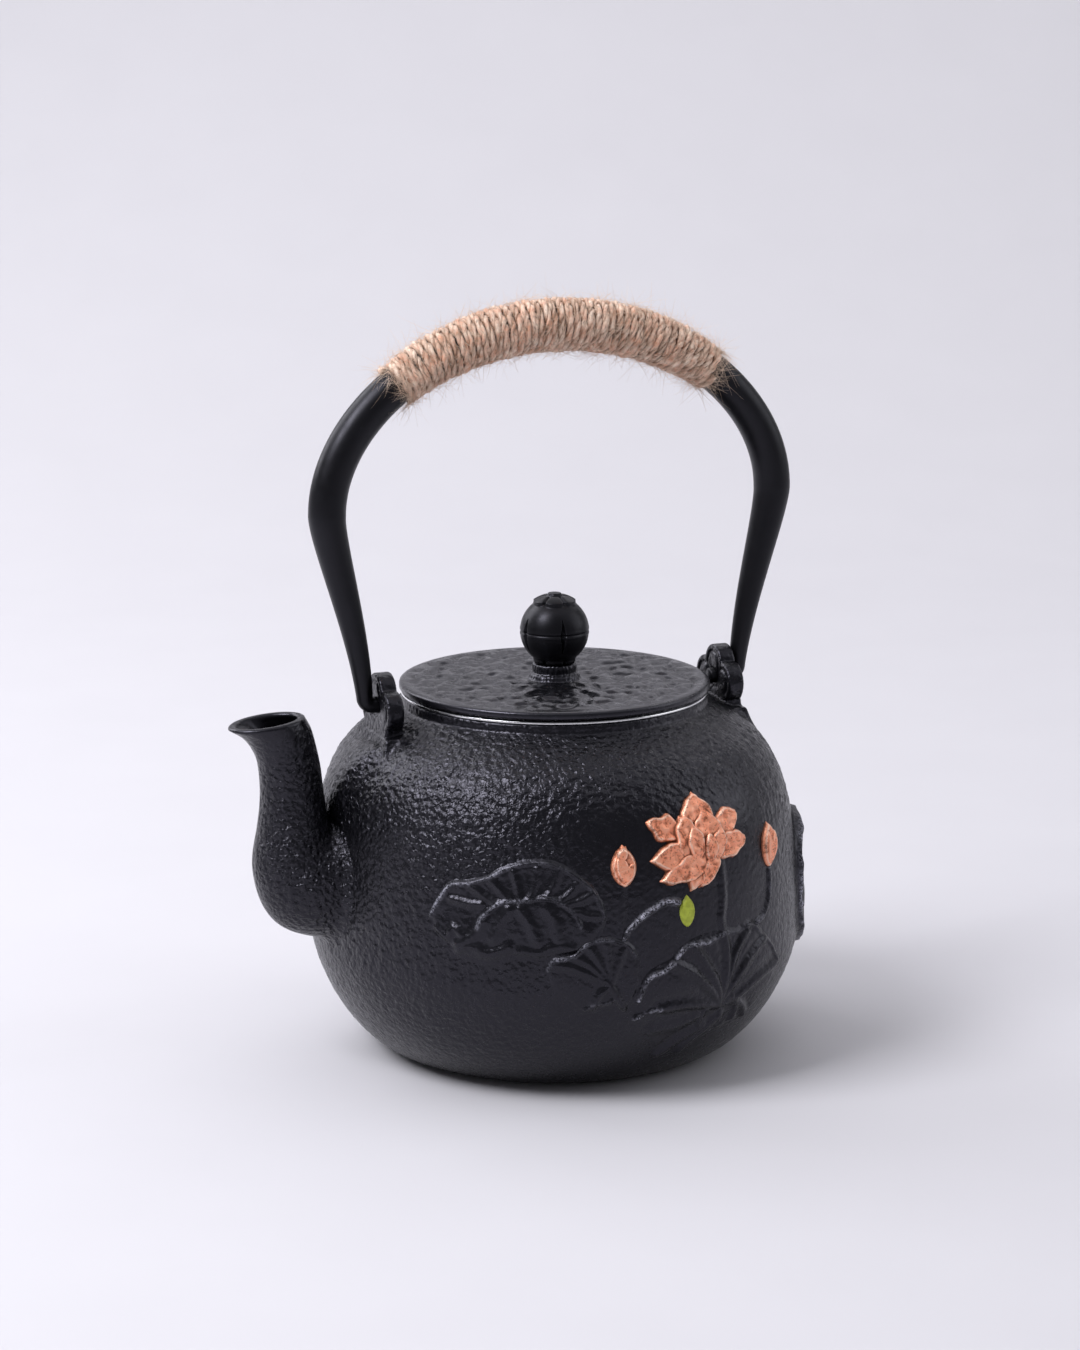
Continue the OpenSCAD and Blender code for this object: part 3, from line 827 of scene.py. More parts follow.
def make_lid():
    """Lid plate with its locator ring below, hammered top and boss."""
    sides = 420
    angles = np.arange(sides) * 360 / sides
    under = LID_TOP_Z - LID_T
    flange = MOUTH_Z + 0.8
    ring_out, ring_in, ring_z = 40.0, 37.4, under - 7.4
    # From the middle of the underside out to the rim: radius and height
    lower = [
        (0, under), (1.72, under), (12, under), (ring_in - 0.3, under), (ring_in, under - 0.3),
        (ring_in, ring_z + 0.4), (ring_in + 0.4, ring_z), (ring_out - 0.4, ring_z),
        (ring_out, ring_z + 0.4), (ring_out, under - 0.3), (ring_out + 0.3, under),
        (43.3, under), (43.5, flange + 0.1), (43.7, flange),
        (48.2, flange), (48.4, flange + 0.1), (48.6, under),
        (LID_R - 0.7, under), (LID_R - 0.25, under + 0.12), (LID_R, under + 0.5),
        (LID_R, under + 1.0), (LID_R, LID_TOP_Z - 1.0), (LID_R - 0.12, LID_TOP_Z - 0.62),
        (LID_R - 0.45, LID_TOP_Z - 0.30), (LID_R - 0.95, LID_TOP_Z - 0.10),
        (LID_R - 1.5, LID_TOP_Z - 0.03),
    ]
    plate_r = np.linspace(LID_R - 2.1, 8.9, 74)
    plate = np.stack([plate_r, np.full(len(plate_r), LID_TOP_Z)], axis=1)
    # Boss under the knob: radius and height above the plate
    boss = np.array([
        (8.6, 0.15), (8.25, 0.55), (8.1, 1.1), (7.9, 1.65), (7.5, 2.0), (7.05, 2.2), (6.95, 2.5),
        (7.05, 3.0), (7.15, 3.9), (7.1, 4.6), (6.9, 5.1), (6.4, 5.3), (0, 5.3),
    ]) + (0, LID_TOP_Z)
    profile = np.vstack([lower, plate, boss])
    a = np.radians(angles)
    marks = hammered(plate_r[:, None] * np.sin(a), -plate_r[:, None] * np.cos(a), RNG)
    calm = smooth_step(8.9, 12, plate_r) * smooth_step(LID_R - 2.0, LID_R - 6.0, plate_r)
    lift = np.zeros((len(profile) - 2, sides))
    first = len(lower) - 1
    boss_first = first + len(plate)
    lift[first:boss_first] = np.clip(marks - marks.mean(), -0.6, 0.45) * calm[:, None]
    lift[boss_first:] = 0.07 * grid_noise(len(boss) - 1, sides, 0.5, 0.11, 1.5, RNG)
    piece(add_mesh("lid_casting", *lathe(profile, angles, lift)), "lid", "cast_iron", LID_IRON,
          "lid_plate")


def make_knob():
    """Ball knob with five slits, an equator line and a lobed cap."""
    step = 0.2
    reach = KNOB_R + 1.0
    low = np.array([-reach, -reach, KNOB_Z - KNOB_R - 0.6])
    x, y, z = space_grid(low, (reach, reach, KNOB_Z + KNOB_R + 2.2), step)
    dz = z - KNOB_Z
    rho = np.hypot(x, y)
    dist = np.sqrt(rho**2 + dz**2)
    azimuth = np.degrees(np.arctan2(x, -y))
    # Slits, widest at the equator, drawn to points above and below
    slits, first_slit, slit_half, up_reach, down_reach = 5, -7, 1.05, 5.2, 6.8
    half = slit_half * np.clip(1 - np.abs(dz) / np.where(dz > 0, up_reach, down_reach), 0, 1) ** 1.15
    slit = np.zeros_like(x)
    for k in range(slits):
        off = np.radians(wrap_angle(azimuth - (first_slit + 360 / slits * k))) * np.maximum(rho, 1)
        slit = np.maximum(slit, np.clip(1 - np.abs(off) / np.maximum(half, 0.02), 0, 1)
                          * (half > 0.02))
    ball = (dist - KNOB_R + 1.1 * slit ** 0.6 + 0.26 * bell(dz, 0.26)
            - 0.07 * bell(np.abs(dz) - 0.75, 0.45))
    # Cap: a low disc with a wavy edge, seams between its lobes and a ring round its stub
    lobes = 6
    phase = np.abs(wrap_angle((azimuth + 22) * lobes) / lobes)
    half_lobe = 180 / lobes
    seam = np.radians(half_lobe - phase) * np.maximum(rho, 0.5)
    cap_edge = rho - 7.1 + 0.9 * (phase / half_lobe) ** 4
    cap = np.maximum(dist - (KNOB_R + 0.95), cap_edge)
    cap = cap + 0.65 * bell(seam, 0.42) * smooth_step(2.0, 3.2, rho)
    cap = cap + 0.45 * bell(rho - 2.9, 0.45)
    stub = np.maximum(dist - (KNOB_R + 1.3), rho - 2.2)
    shape = smooth_min(smooth_min(ball, cap, 0.35), stub, 0.4)
    shape = np.maximum(shape, (KNOB_Z - KNOB_R + 0.5) - z)
    piece(add_mesh("lid_knob_ball", *surface_net(shape, low, step)), "lid", "satin_iron", SATIN,
          "lid_knob")


# ---------------------------------------------------------------- bail handle and its wrap

def make_bail():
    """Round iron bar, thinner down the legs, bent inwards at the ends to the two pins."""
    sides, turn_r, pin_chamfer = 32, 2.75, 0.4
    t = np.linspace(0, 1, 90)
    leg = bezier(LEG, t[1:])
    leg = leg[leg[:, 1] > PIVOT_Z + turn_r]
    bend = np.radians(np.linspace(0, 90, 12))[1:]
    elbow = np.stack([leg[-1, 0] - turn_r * (1 - np.cos(bend)),
                      PIVOT_Z + turn_r * (1 - np.sin(bend))], axis=1)
    pin = [(x, PIVOT_Z) for x in (62.0, 60.0, 57.0, 55.3, 54.95)]
    half = np.vstack([bezier(CROWN, t), leg, elbow, pin])
    thinning = np.clip((half[:, 1] - PIVOT_Z) / (BAIL_WIDE_Z - PIVOT_Z), 0, 1)
    radius = np.where(half[:, 1] > BAIL_WIDE_Z, BAIL_R, PIN_R + (BAIL_R - PIN_R) * thinning)
    radius[-1] = PIN_R - pin_chamfer
    centres = np.insert(np.vstack([half[:0:-1] * [-1, 1], half]), 1, 0, axis=1)
    radii = np.concatenate([radius[:0:-1], radius])
    across, up = frames_along(centres, (0, 1, 0))
    piece(add_mesh("bail_rod", *sweep(centres, across, up, radii, sides)), "handle",
          "satin_iron", SATIN, "handle_bail")


WRAP_R, WRAP_END_R = 8.7, 7.3
WRAP_REACH = 0.5  # how far along the crown's curve the wrap goes, from the middle
TWINE_R = 1.32
SIDEWAYS = np.array([0, 1.0, 0])


def crown_table():
    """The wrapped part of the bail, left to right: arc length from the middle, point, direction."""
    t = np.linspace(0, WRAP_REACH, 300)
    right = bezier(CROWN, t)
    slope = bezier_slope(CROWN, t)
    p = np.vstack([right[:0:-1] * [-1, 1], right])
    d = np.vstack([slope[:0:-1] * [1, -1], slope])
    s = run_along(p)
    return s - s[-1] / 2, np.insert(p, 1, 0, axis=1), np.insert(d, 1, 0, axis=1)


CROWN_S, CROWN_POINTS, CROWN_SLOPES = crown_table()
WRAP_HALF = CROWN_S[-1]


def wrap_frame(run):
    """Centre, upward normal and direction of the crown at arc lengths from its middle."""
    t = unit(look_up(run, CROWN_S, CROWN_SLOPES))
    return look_up(run, CROWN_S, CROWN_POINTS), np.stack([-t[:, 2], t[:, 1], t[:, 0]], axis=1), t


def wrap_radius(run):
    """Radius of the wrap, which thins towards its two ends."""
    return WRAP_R - (WRAP_R - WRAP_END_R) * np.abs(run / WRAP_HALF) ** 3


def make_wrap(rng):
    """Three-ply twine wound round the crown turn by turn."""
    pitch, twist_pitch, per_turn = 2.42, 13.0, 46
    plies, ply_r, ply_offset, sides = 3, 0.76, 0.60, 7
    uneven, most_uneven, swelling, lump_pitch, thick_and_thin = 0.14, 0.2, 0.17, 2.6, 0.22
    turns = (2 * WRAP_HALF - 2 * TWINE_R) / pitch
    count = int(turns * per_turn)
    turn = np.linspace(0, turns, count)
    whole = int(turns) + 3
    jitter = np.interp(turn, np.arange(whole), np.clip(rng.normal(0, uneven, whole),
                                                      -most_uneven, most_uneven))
    run = -WRAP_HALF + TWINE_R + pitch * turn + jitter
    run = np.clip(run, -WRAP_HALF + 0.4, WRAP_HALF - 0.4)
    c, n, _ = wrap_frame(run)
    phi = 2 * np.pi * turn
    knots = np.arange(0, turns + 1, 0.2)
    core = wrap_radius(run) - TWINE_R
    rho = core + np.interp(turn, knots, rng.normal(0, swelling, len(knots)))
    radial = np.cos(phi)[:, None] * n + np.sin(phi)[:, None] * SIDEWAYS
    centres = c + rho[:, None] * radial
    tangent = unit(np.gradient(centres, axis=0))
    lift = unit(radial - tangent * np.sum(radial * tangent, axis=1, keepdims=True))
    beside = np.cross(tangent, lift)
    length = run_along(centres)
    lumps = np.arange(0, length[-1] + 4, lump_pitch)
    wander = np.interp(length, lumps, rng.normal(0, 0.55, len(lumps)))
    # The ring that each point of a ply belongs to; the two points of its ends come last
    owner = np.append(np.repeat(np.arange(count), sides), [0, count - 1])
    parts, uvs, levels = [], [], []
    for k in range(plies):
        tau = 2 * np.pi * (length / twist_pitch + k / plies) + wander
        cos, sin = np.cos(tau)[:, None], np.sin(tau)[:, None]
        ply = centres + ply_offset * (cos * lift * 0.92 + sin * beside * 1.08)
        change = np.interp(length, lumps, rng.normal(0, 1, len(lumps)))
        thick = ply_r * (1 + thick_and_thin * change)
        points, faces = sweep(ply, cos * lift + sin * beside, -sin * lift + cos * beside, thick,
                              sides)
        parts.append((points, faces))
        spin = np.tile(np.arange(sides) / sides, count)
        along = np.repeat(length, sides)
        uv = np.stack([along / 3.0, spin + along / 9.0 + k * 0.37], axis=1)
        uvs.append(np.vstack([uv, uv[:1], uv[-1:]]))
        # How high each point stands over the twine's core, for the painted shade in the grooves.
        levels.append((np.linalg.norm(points - c[owner], axis=1) - core[owner]) / TWINE_R)
    points, faces = merged(parts)
    obj = add_mesh("jute_twine", points, faces, uv=np.vstack(uvs),
                   values={"high": np.concatenate(levels)})
    piece(obj, "handle", "jute_twine", JUTE, "jute_wrap")


def make_fibres(rng):
    """Loose fibres standing off the twine, as thin tapering three-sided strands."""
    count, steps, sides = 6000, 7, 3
    longest, thinnest, thickest, near_ends = 11, 0.026, 0.068, 0.10
    run = rng.uniform(-WRAP_HALF + 0.5, WRAP_HALF - 0.5, count)
    at_end = rng.random(count) < near_ends
    run = np.where(at_end, np.sign(run) * (WRAP_HALF - rng.uniform(0.3, 3.5, count)), run)
    phi = rng.uniform(0, 2 * np.pi, count)[:, None]
    c, n, t = wrap_frame(run)
    radial = np.cos(phi) * n + np.sin(phi) * SIDEWAYS
    around = -np.sin(phi) * n + np.cos(phi) * SIDEWAYS
    start = c + (wrap_radius(run) - 0.35)[:, None] * radial
    length = np.minimum(rng.gamma(2.4, 1.9, count) + 1.6, longest)
    heading = unit(around * rng.normal(0, 1.0, count)[:, None]
                   + t * rng.normal(0, 0.75, count)[:, None])
    stand = np.abs(rng.normal(0.0, 0.30, count)) * (rng.random(count) < 0.45) + 0.06
    first = unit(heading + radial * stand[:, None])
    curl = rng.normal(0, 0.30, (count, 3)) - radial * 0.22
    q = np.linspace(0, 1, steps)
    lines = (start[:, None] + first[:, None] * (length[:, None] * q)[..., None]
             + curl[:, None] * ((length[:, None] * q**2) * 0.55)[..., None])
    gauge = rng.uniform(thinnest, thickest, count)
    tangent = unit(np.gradient(lines, axis=1))
    a = unit(np.cross(tangent, np.broadcast_to(np.array([0.3, 0.8, 0.52]), tangent.shape)))
    b = np.cross(tangent, a)
    taper = gauge[:, None] * (1 - 0.75 * q)
    corners = np.radians([90, 210, 330])[:, None]
    ring = (lines[:, :, None] + taper[:, :, None, None]
            * (np.cos(corners) * a[:, :, None] + np.sin(corners) * b[:, :, None]))
    last = (steps - 1) * sides
    caps = np.array([[2, 1, 0], [last, last + 1, last + 2]])
    shift = (np.arange(count) * steps * sides)[:, None, None]
    faces = [(ring_quads(steps, sides) + shift).reshape(-1, 4), (caps + shift).reshape(-1, 3)]
    piece(add_mesh("jute_fibres", ring.reshape(-1, 3), faces), "handle", "jute_twine", JUTE_HAIR)


# ---------------------------------------------------------------- relief on the body

# Grid of the leaves, of the stems, and of the flower, buds and sepal
LEAF_STEP, STEM_STEP, FLOWER_STEP = 0.34, 0.3, 0.2


def path_distance(u, v, path):
    """Distance of each point of a grid from a polyline, and how far along it the foot lies."""
    best = np.full(u.shape, 1e9)
    where = np.zeros(u.shape)
    run = run_along(path)
    for i, (a, b) in enumerate(zip(path[:-1], path[1:])):
        d = b - a
        size = max(float(d @ d), 1e-9)
        t = np.clip(((u - a[0]) * d[0] + (v - a[1]) * d[1]) / size, 0, 1)
        dist = np.hypot(u - a[0] - t * d[0], v - a[1] - t * d[1])
        closer = dist < best
        best = np.where(closer, dist, best)
        where = np.where(closer, (run[i] + t * math.sqrt(size)) / run[-1], where)
    return best, where


def inside_path(u, v, path):
    """Whether each point of a grid lies inside a closed polyline."""
    inside = np.zeros(u.shape, bool)
    for a, b in zip(path, np.roll(path, -1, axis=0)):
        crosses = (a[1] > v) != (b[1] > v)
        with np.errstate(divide="ignore", invalid="ignore"):
            x = (b[0] - a[0]) * (v - a[1]) / (b[1] - a[1]) + a[0]
        inside ^= crosses & (u < x)
    return inside


def signed_distance(u, v, path):
    """Distance of each point of a grid from a closed polyline, negative inside."""
    dist, _ = path_distance(u, v, np.vstack([path, path[:1]]))
    return np.where(inside_path(u, v, path), -dist, dist)


def relief_patch(name, angle, z, half_u, half_v, step, height, node, slot, material, values=None):
    """A cast feature: a height field laid on the body around an angle and a height.

    height(u, v) gives millimetres above the body, below -0.3 where there is nothing. values has
    functions of u, v and that height, for what the material reads at each point.
    """
    sink, back = -0.3, -0.8
    u, v = np.meshgrid(np.arange(-half_u, half_u + step, step),
                       np.arange(-half_v, half_v + step, step))
    h = height(u, v)
    keep = h > sink
    cell = keep[:-1, :-1] | keep[1:, :-1] | keep[:-1, 1:] | keep[1:, 1:]
    around = angle + np.degrees(u / np.interp(s_at(z), BODY_S, BODY_RS))
    layers = [on_body(around, s_at(z) + v, level) for level in (np.maximum(h, sink), back)]
    points = np.stack(layers).reshape(-1, 3)
    n = len(points) // 2
    cols = u.shape[1]
    i, j = np.nonzero(cell)
    a = i * cols + j
    quads = np.stack([a, a + 1, a + cols + 1, a + cols], axis=1)
    # The patch's rim is made of the edges that only one quad has
    edges = np.concatenate([quads[:, [k, (k + 1) % 4]] for k in range(4)])
    key = np.sort(edges, axis=1)
    order = np.lexsort((key[:, 1], key[:, 0]))
    same = np.all(key[order][1:] == key[order][:-1], axis=1)
    paired = np.zeros(len(edges), bool)
    paired[order[1:][same]] = True
    paired[order[:-1][same]] = True
    rim = edges[~paired]
    walls = np.stack([rim[:, 1], rim[:, 0], rim[:, 0] + n, rim[:, 1] + n], axis=1)
    faces = np.vstack([quads, quads[:, ::-1] + n, walls])
    used, faces = np.unique(faces, return_inverse=True)
    fields = {key: np.tile(field(u, v, h).ravel(), 2)[used]
              for key, field in (values or {}).items()}
    obj = add_mesh(name, points[used], [faces.reshape(-1, 4)], values=fields)
    piece(obj, "pot", slot, material, *([node] if node else []))


def wear_and_sheen_on(rims):
    """Wear along the rims with a painted highlight, stronger towards the side that faces the spout,
    which is the lit side.
    """
    def worn(u, v, h):
        total = np.zeros(u.shape)
        for path, w, top in rims:
            d, _ = path_distance(u, v, path)
            total = np.maximum(total, bell(d, w * 0.6) * min(1, top - 0.35))
        # More of the painted highlight on the lit side, towards the spout.
        return total * (0.12 + 0.88 * smooth_step(10, -14, u))
    return worn


def quiet(u, v, h):
    """The faint grain that the relief has all over."""
    return np.full(u.shape, 0.32)


def cast_leaf(name, angle, z, half_u, half_v, node, outline, rims, folds, plateau, dish=None):
    """A leaf cast on the body. Rims and folds are paths with a width and a height."""
    outline = closed_through(outline, 8)
    rims = [(through(p, 8), w, h) for p, w, h in rims]
    folds = [(through(p, 5), w, h) for p, w, h in folds]

    def height(u, v):
        edge = signed_distance(u, v, outline)
        h = plateau * smooth_step(0.6, -1.6, edge)
        if dish is not None:
            h = h + dish(u, v) * smooth_step(0, -4.0, edge)
        crest = np.zeros(u.shape)
        hollow = np.zeros(u.shape)
        for path, w, top in folds:
            d, _ = path_distance(u, v, path)
            crest = np.maximum(crest, top * bell(d, 1.35 * w))
            hollow = np.maximum(hollow, 0.28 * top * bell(d - 2.6 * w, 1.3 * w))
        h = h + crest - hollow * (1 - np.clip(crest / 0.6, 0, 1))
        for path, w, top in rims:
            d, along = path_distance(u, v, path)
            wobble = 0.78 + 0.24 * np.sin(along * 13.0 + top * 9) + 0.14 * np.sin(along * 41.0 + 1)
            crest = 0.9 * top * bell(d, 0.8 * w) * wobble
            h = np.maximum(h, 0.35 * h + crest + 0.2 * plateau)
        return np.where(edge > 2.2, -1.0, h - 0.4 * smooth_step(0.4, 2.0, edge) - 0.02)

    values = {"worn": wear_and_sheen_on(rims), "grain": quiet}
    relief_patch(name, angle, z, half_u, half_v, LEAF_STEP, height, node, "cast_iron", IRON, values)


def make_leaves():
    """The four lotus leaves, each drawn in millimetres around its own middle."""
    # Round leaf on the left, seen from its edge: far rim, near rim folded over, radial ribs
    far_rim = [(-27.6, -3.4), (-24.6, 2.4), (-20.8, 6.9), (-15.0, 8.0), (-8.4, 10.2), (-2.4, 13.6),
               (6.7, 15.3), (13.8, 14.2), (19.8, 10.5), (24.1, 6.4), (27.2, -0.3), (26.4, -4.6)]
    near_rim = [(-11.8, -5.6), (-10, -1.9), (-4.3, 2.9), (0.8, 3.5), (9.5, 4.6), (13.8, 3.4),
                (18.4, -0.5), (20.6, -5.2)]
    outline = far_rim + [(24.0, -9.4), (17.6, -12.8), (10.0, -14.6), (1.0, -13.8), (-7.2, -16.4),
                         (-15.6, -15.2), (-20.8, -12.6), (-25.2, -8.2)]
    ribs = [
        ((-20.6, 2.6), (-10.4, 1.8)), ((-14.4, 7.4), (-6.6, 2.6)), ((-8.2, 9.8), (-2.0, 4.1)),
        ((-1.0, 12.8), (1.4, 4.4)), ((6.7, 13.6), (4.8, 4.8)), ((13.8, 13.2), (10.0, 5.2)),
        ((19.8, 9.8), (14.3, 3.8)), ((24.0, 5.6), (16.2, 2.8)), ((25.6, -1.4), (19.0, 0.2)),
    ]
    folds = [([a, ((a[0] + b[0]) / 2 + 0.4, (a[1] + b[1]) / 2 - 0.5), b], 0.75, 0.62)
             for a, b in ribs]
    folds += [
        ([(-1.8, 0.8), (-4.6, -3.4), (-6.3, -8.6)], 1.0, 0.6),
        ([(1.6, 1.0), (4.8, -3.6), (7.0, -9.0)], 1.0, 0.6),
        ([(9.6, 1.8), (12.6, -3.0), (13.6, -8.4)], 1.1, 0.5),
        ([(-9.6, -3.6), (-13.0, -8.4), (-17.8, -11.4)], 1.1, 0.6),
        ([(-25.4, -7.4), (-21.6, -9.6), (-19.6, -6.4), (-16.8, -8.2)], 0.8, 0.6),
        ([(-18.6, -14.0), (-13.6, -11.6), (-8.2, -13.6), (-1.6, -11.2)], 1.0, 0.55),
        ([(1.4, -12.4), (7.6, -12.8), (12.0, -10.8), (18.2, -11.4)], 1.0, 0.5),
    ]

    def bulge(u, v):
        near = np.interp(u, [p[0] for p in near_rim], [p[1] for p in near_rim])
        return 0.35 * smooth_step(1.5, -2.5, v - near) - 0.32 * smooth_step(0.5, 3.0, v - near)

    cast_leaf("leaf_round_casting", angle=-31, z=64.5, half_u=31, half_v=19.5, node="leaf_round",
              outline=outline, rims=[(far_rim, 0.95, 1.25), (near_rim, 0.95, 1.35)], folds=folds,
              plateau=0.62, dish=bulge)

    # Half leaf below it, with a tuft of small folds at its lower right
    rim = [(-13.2, 1.8), (-11.6, 4.6), (-7.8, 5.4), (-4.4, 6.7), (-1.1, 9.8), (4.9, 10.8),
           (11.0, 9.0), (14.0, 5.2)]
    outline = rim + [(15.6, -1.0), (14.4, -7.0), (11.0, -12.6), (5.6, -11.0), (-2.0, -12.6),
                     (-6.6, -9.0), (-12.4, -4.2)]
    folds = [([(6.2, -3.6), (x * 0.6 + 2.5, y * 0.5), (x, y)], 0.8, 0.5)
             for x, y in ((-11.0, 3.2), (-4.4, 5.4), (-0.6, 8.6), (4.9, 9.6), (10.6, 8.0))]
    folds += [
        ([(4.3, -2.2), (6.0, -4.0), (8.6, -8.4), (10.8, -12.0)], 0.7, 0.8),
        ([(6.0, -4.0), (2.4, -7.0), (0.4, -11.0)], 0.8, 0.7),
    ]
    clump = [(-1.8, -11.4), (1.6, -9.6), (4.6, -9.8), (7.0, -8.4)]
    cast_leaf("leaf_small_casting", angle=-14, z=44.8, half_u=19, half_v=15.5, node="leaf_small",
              outline=outline, rims=[(rim, 0.95, 1.2), (clump, 0.9, 0.9)], folds=folds,
              plateau=0.5)

    # Large fan leaf at the lower right: three overlapping lobes folded about a low hub
    hub = (0.7, -4.5)
    low_lobe = [(-31.0, -4.2), (-26.8, -2.2), (-22.6, -1.6)]
    mid_lobe = [(-30.4, 2.4), (-28.8, 6.6), (-26.1, 10.0), (-22.4, 10.8), (-19.0, 13.1)]
    high_lobe = [(-17.6, 14.8), (-14.6, 17.4), (-11.4, 18.1), (-5.6, 17.8), (-0.3, 19.2)]
    far_rim = [(-0.2, 19.8), (6.6, 18.6), (12.8, 20.0), (18.4, 15.6), (23.0, 12.2), (27.8, 6.2),
               (30.0, 2.6)]
    outline = [(-31.4, -5.0), (-29.0, -1.4), (-30.6, 3.2), (-26.4, 10.6), (-19.0, 13.8),
               (-11.6, 18.9), (-0.3, 20.0), (6.6, 19.2), (12.8, 20.6), (18.8, 16.0), (28.2, 6.6),
               (30.2, 0.0), (25.6, -7.4), (17.6, -13.6), (7.6, -15.0), (-2.0, -17.0),
               (-9.6, -22.6), (-19.6, -22.6), (-23.4, -15.0), (-28.6, -10.0)]
    folds = [
        ([(-22.6, -1.6), (-14.0, -1.6), (-7.2, -2.7), hub], 1.15, 0.95),
        ([(-19.0, 13.1), (-12.7, 9.3), (-4.0, 1.7), hub], 1.0, 0.95),
        ([(-11.4, 17.0), (-7.5, 11.8), (-0.9, 1.1), hub], 1.0, 0.95),
        ([(0.5, 19.3), (1.9, 12.4), (1.2, 3.0), hub], 0.95, 0.75),
        ([(11.0, 18.4), (5.6, 12.4), (2.2, 3.6), hub], 0.95, 0.8),
        ([(20.4, 13.6), (11.6, 8.6), (4.0, 0.6), hub], 1.0, 0.8),
        ([(28.4, 3.4), (17.6, 0.8), (8.0, -3.4), hub], 1.1, 0.9),
        ([(8.2, -5.0), (13.4, -8.0), (17.0, -13.0)], 1.0, 0.9),
        ([hub, (6.2, -3.2), (9.6, -6.6), (10.2, -11.6)], 1.0, 0.8),
        ([hub, (-4.8, -5.0), (-6.2, -8.6), (-5.6, -13.0)], 0.9, 0.7),
        ([(2.5, -9.1), (-3.6, -13.6), (-8.8, -18.4), (-9.8, -22.0)], 1.25, 1.0),
        ([(-4.2, -11.7), (-12.8, -15.9), (-19.5, -21.8)], 1.25, 0.95),
        ([(-24.0, -9.6), (-15.0, -9.2), (-7.6, -6.8)], 1.3, 0.6),
    ]

    def fan_dish(u, v):
        return -0.3 * np.exp(-(((u - hub[0]) ** 2 + (v - hub[1]) ** 2) / 30.0))

    rims = [(low_lobe, 1.0, 1.35), (mid_lobe, 1.0, 1.45), (high_lobe, 1.0, 1.35),
            (far_rim, 0.9, 1.0)]
    cast_leaf("leaf_fan_casting", angle=19, z=33, half_u=34.5, half_v=25.5, node="leaf_fan",
              outline=outline, rims=rims, folds=folds, plateau=0.55, dish=fan_dish)

    # Thick leaf at the right-hand side
    half_wide, half_high, corners = 18, 22, 18
    outline = [(half_wide * math.cos(a) * (1 + 0.06 * math.cos(5 * a)),
                half_high * math.sin(a) * (1 + 0.05 * math.cos(4 * a + 1)))
               for a in np.linspace(0, 2 * np.pi, corners, endpoint=False)]
    rim = [(0.95 * x, 0.95 * y) for x, y in outline + outline[:1]]
    folds = [([(1, -2), (0.5 * x + 0.8, 0.5 * y + 1), (0.9 * x, 0.9 * y)], 1.2, 0.85)
             for x, y in outline[::2]]
    cast_leaf("leaf_side_casting", angle=72, z=54, half_u=21.5, half_v=25.5, node="leaf_side",
              outline=outline, rims=[(rim, 1.1, 2.5)], folds=folds, plateau=1.6)


def make_stems():
    """Raised stems that join the flower and buds to the leaves."""
    # Each stem: points as angle and height, half-width, height above the body, wear, which the iron
    # draws with a painted highlight
    stems = [
        ("stem_sepal", [(6.9, 65.0), (3.7, 65.7), (-0.7, 63.1), (-4.9, 58.7), (-6.6, 55.0)],
         0.85, 1.1, 1.0),
        ("stem_flower", [(19.5, 75.0), (19.7, 64.5), (18.9, 56.8), (19.8, 51.5)], 1.45, 0.65, 0.0),
        ("stem_bud_side", [(37.6, 67.5), (36.7, 59.4), (34.2, 54.4), (31.2, 52.4)], 1.15, 0.85, 0.3),
        ("stem_bud_front", [(-6.9, 71.8), (-7.2, 64.0), (-7.4, 56.2)], 1.5, 0.5, 0.0),
    ]
    for name, points, half, top, rub in stems:
        a0, z0 = map(float, np.mean(points, axis=0))
        r0 = float(np.interp(s_at(z0), BODY_S, BODY_RS))
        local = [(math.radians(a - a0) * r0, float(s_at(z) - s_at(z0))) for a, z in points]
        path = through(local, 8)

        def height(u, v, path=path, half=half, top=top):
            d, along = path_distance(u, v, path)
            h = top * bell(d, half * (1.2 - 0.4 * along)) - 0.10 * smooth_step(0.5, half * 2.4, d)
            return np.where(d > half * 2.8, -1.0, h)

        # Wear on the stem's crest, tinted by the iron as a painted highlight.
        def rubbed_sheen(u, v, h, path=path, half=half, rub=rub):
            return rub * bell(path_distance(u, v, path)[0], half)

        span = np.abs(np.array(local)).max(axis=0) + 4
        relief_patch(name, a0, z0, *span, STEM_STEP, height, None, "cast_iron", IRON,
                     {"grain": quiet, "worn": rubbed_sheen})


def petal_height(u, v, base, tip, half, lift, cup):
    """One petal from its base to its tip: cupped across, with a soft keel and a rounded edge."""
    run = np.array(tip, float) - np.array(base, float)
    length = float(np.hypot(*run))
    along = run / length
    y = (u - base[0]) * along[0] + (v - base[1]) * along[1]
    x = (u - base[0]) * along[1] - (v - base[1]) * along[0]
    t = np.clip(y / length, 0, 1)
    w = half * np.clip(t**0.5 * (1 - t**2.4) ** 1.1 / 0.57, 1e-3, None)
    across = np.abs(x) / w
    inside = (y > 0) & (y < length) & (across < 1)
    dome = lift * (0.60 + 0.40 * np.sin(t * 2.6))
    rounded = smooth_step(-0.15, 1.15, np.minimum((1 - across) * w, (1 - t) * length * 0.6))
    bowl = 0.8 * cup * (1.5 * across**2 - 0.6)
    keel = 0.16 * bell(x, 0.9) * (1 - t)
    return np.where(inside, (dome + bowl + keel) * rounded, -1.0)


def tallest(u, v, petals):
    """Height of a group of petals: the highest one at each place."""
    return np.maximum.reduce([petal_height(u, v, *petal) for petal in petals])


def edge_light_and_groove_shade(u, v, h):
    """Half on level ground, more on raised edges and less in the grooves between petals: the mask for
    the copper's painted highlight and painted shade.
    """
    soft = np.maximum(h, 0.0)
    for _ in range(10):
        padded = np.pad(soft, 1, mode="edge")
        soft = (padded[:-2, 1:-1] + padded[2:, 1:-1] + padded[1:-1, :-2] + padded[1:-1, 2:]) / 4
    return np.clip(0.5 + (np.maximum(h, 0) - soft) * 1.6, 0, 1)


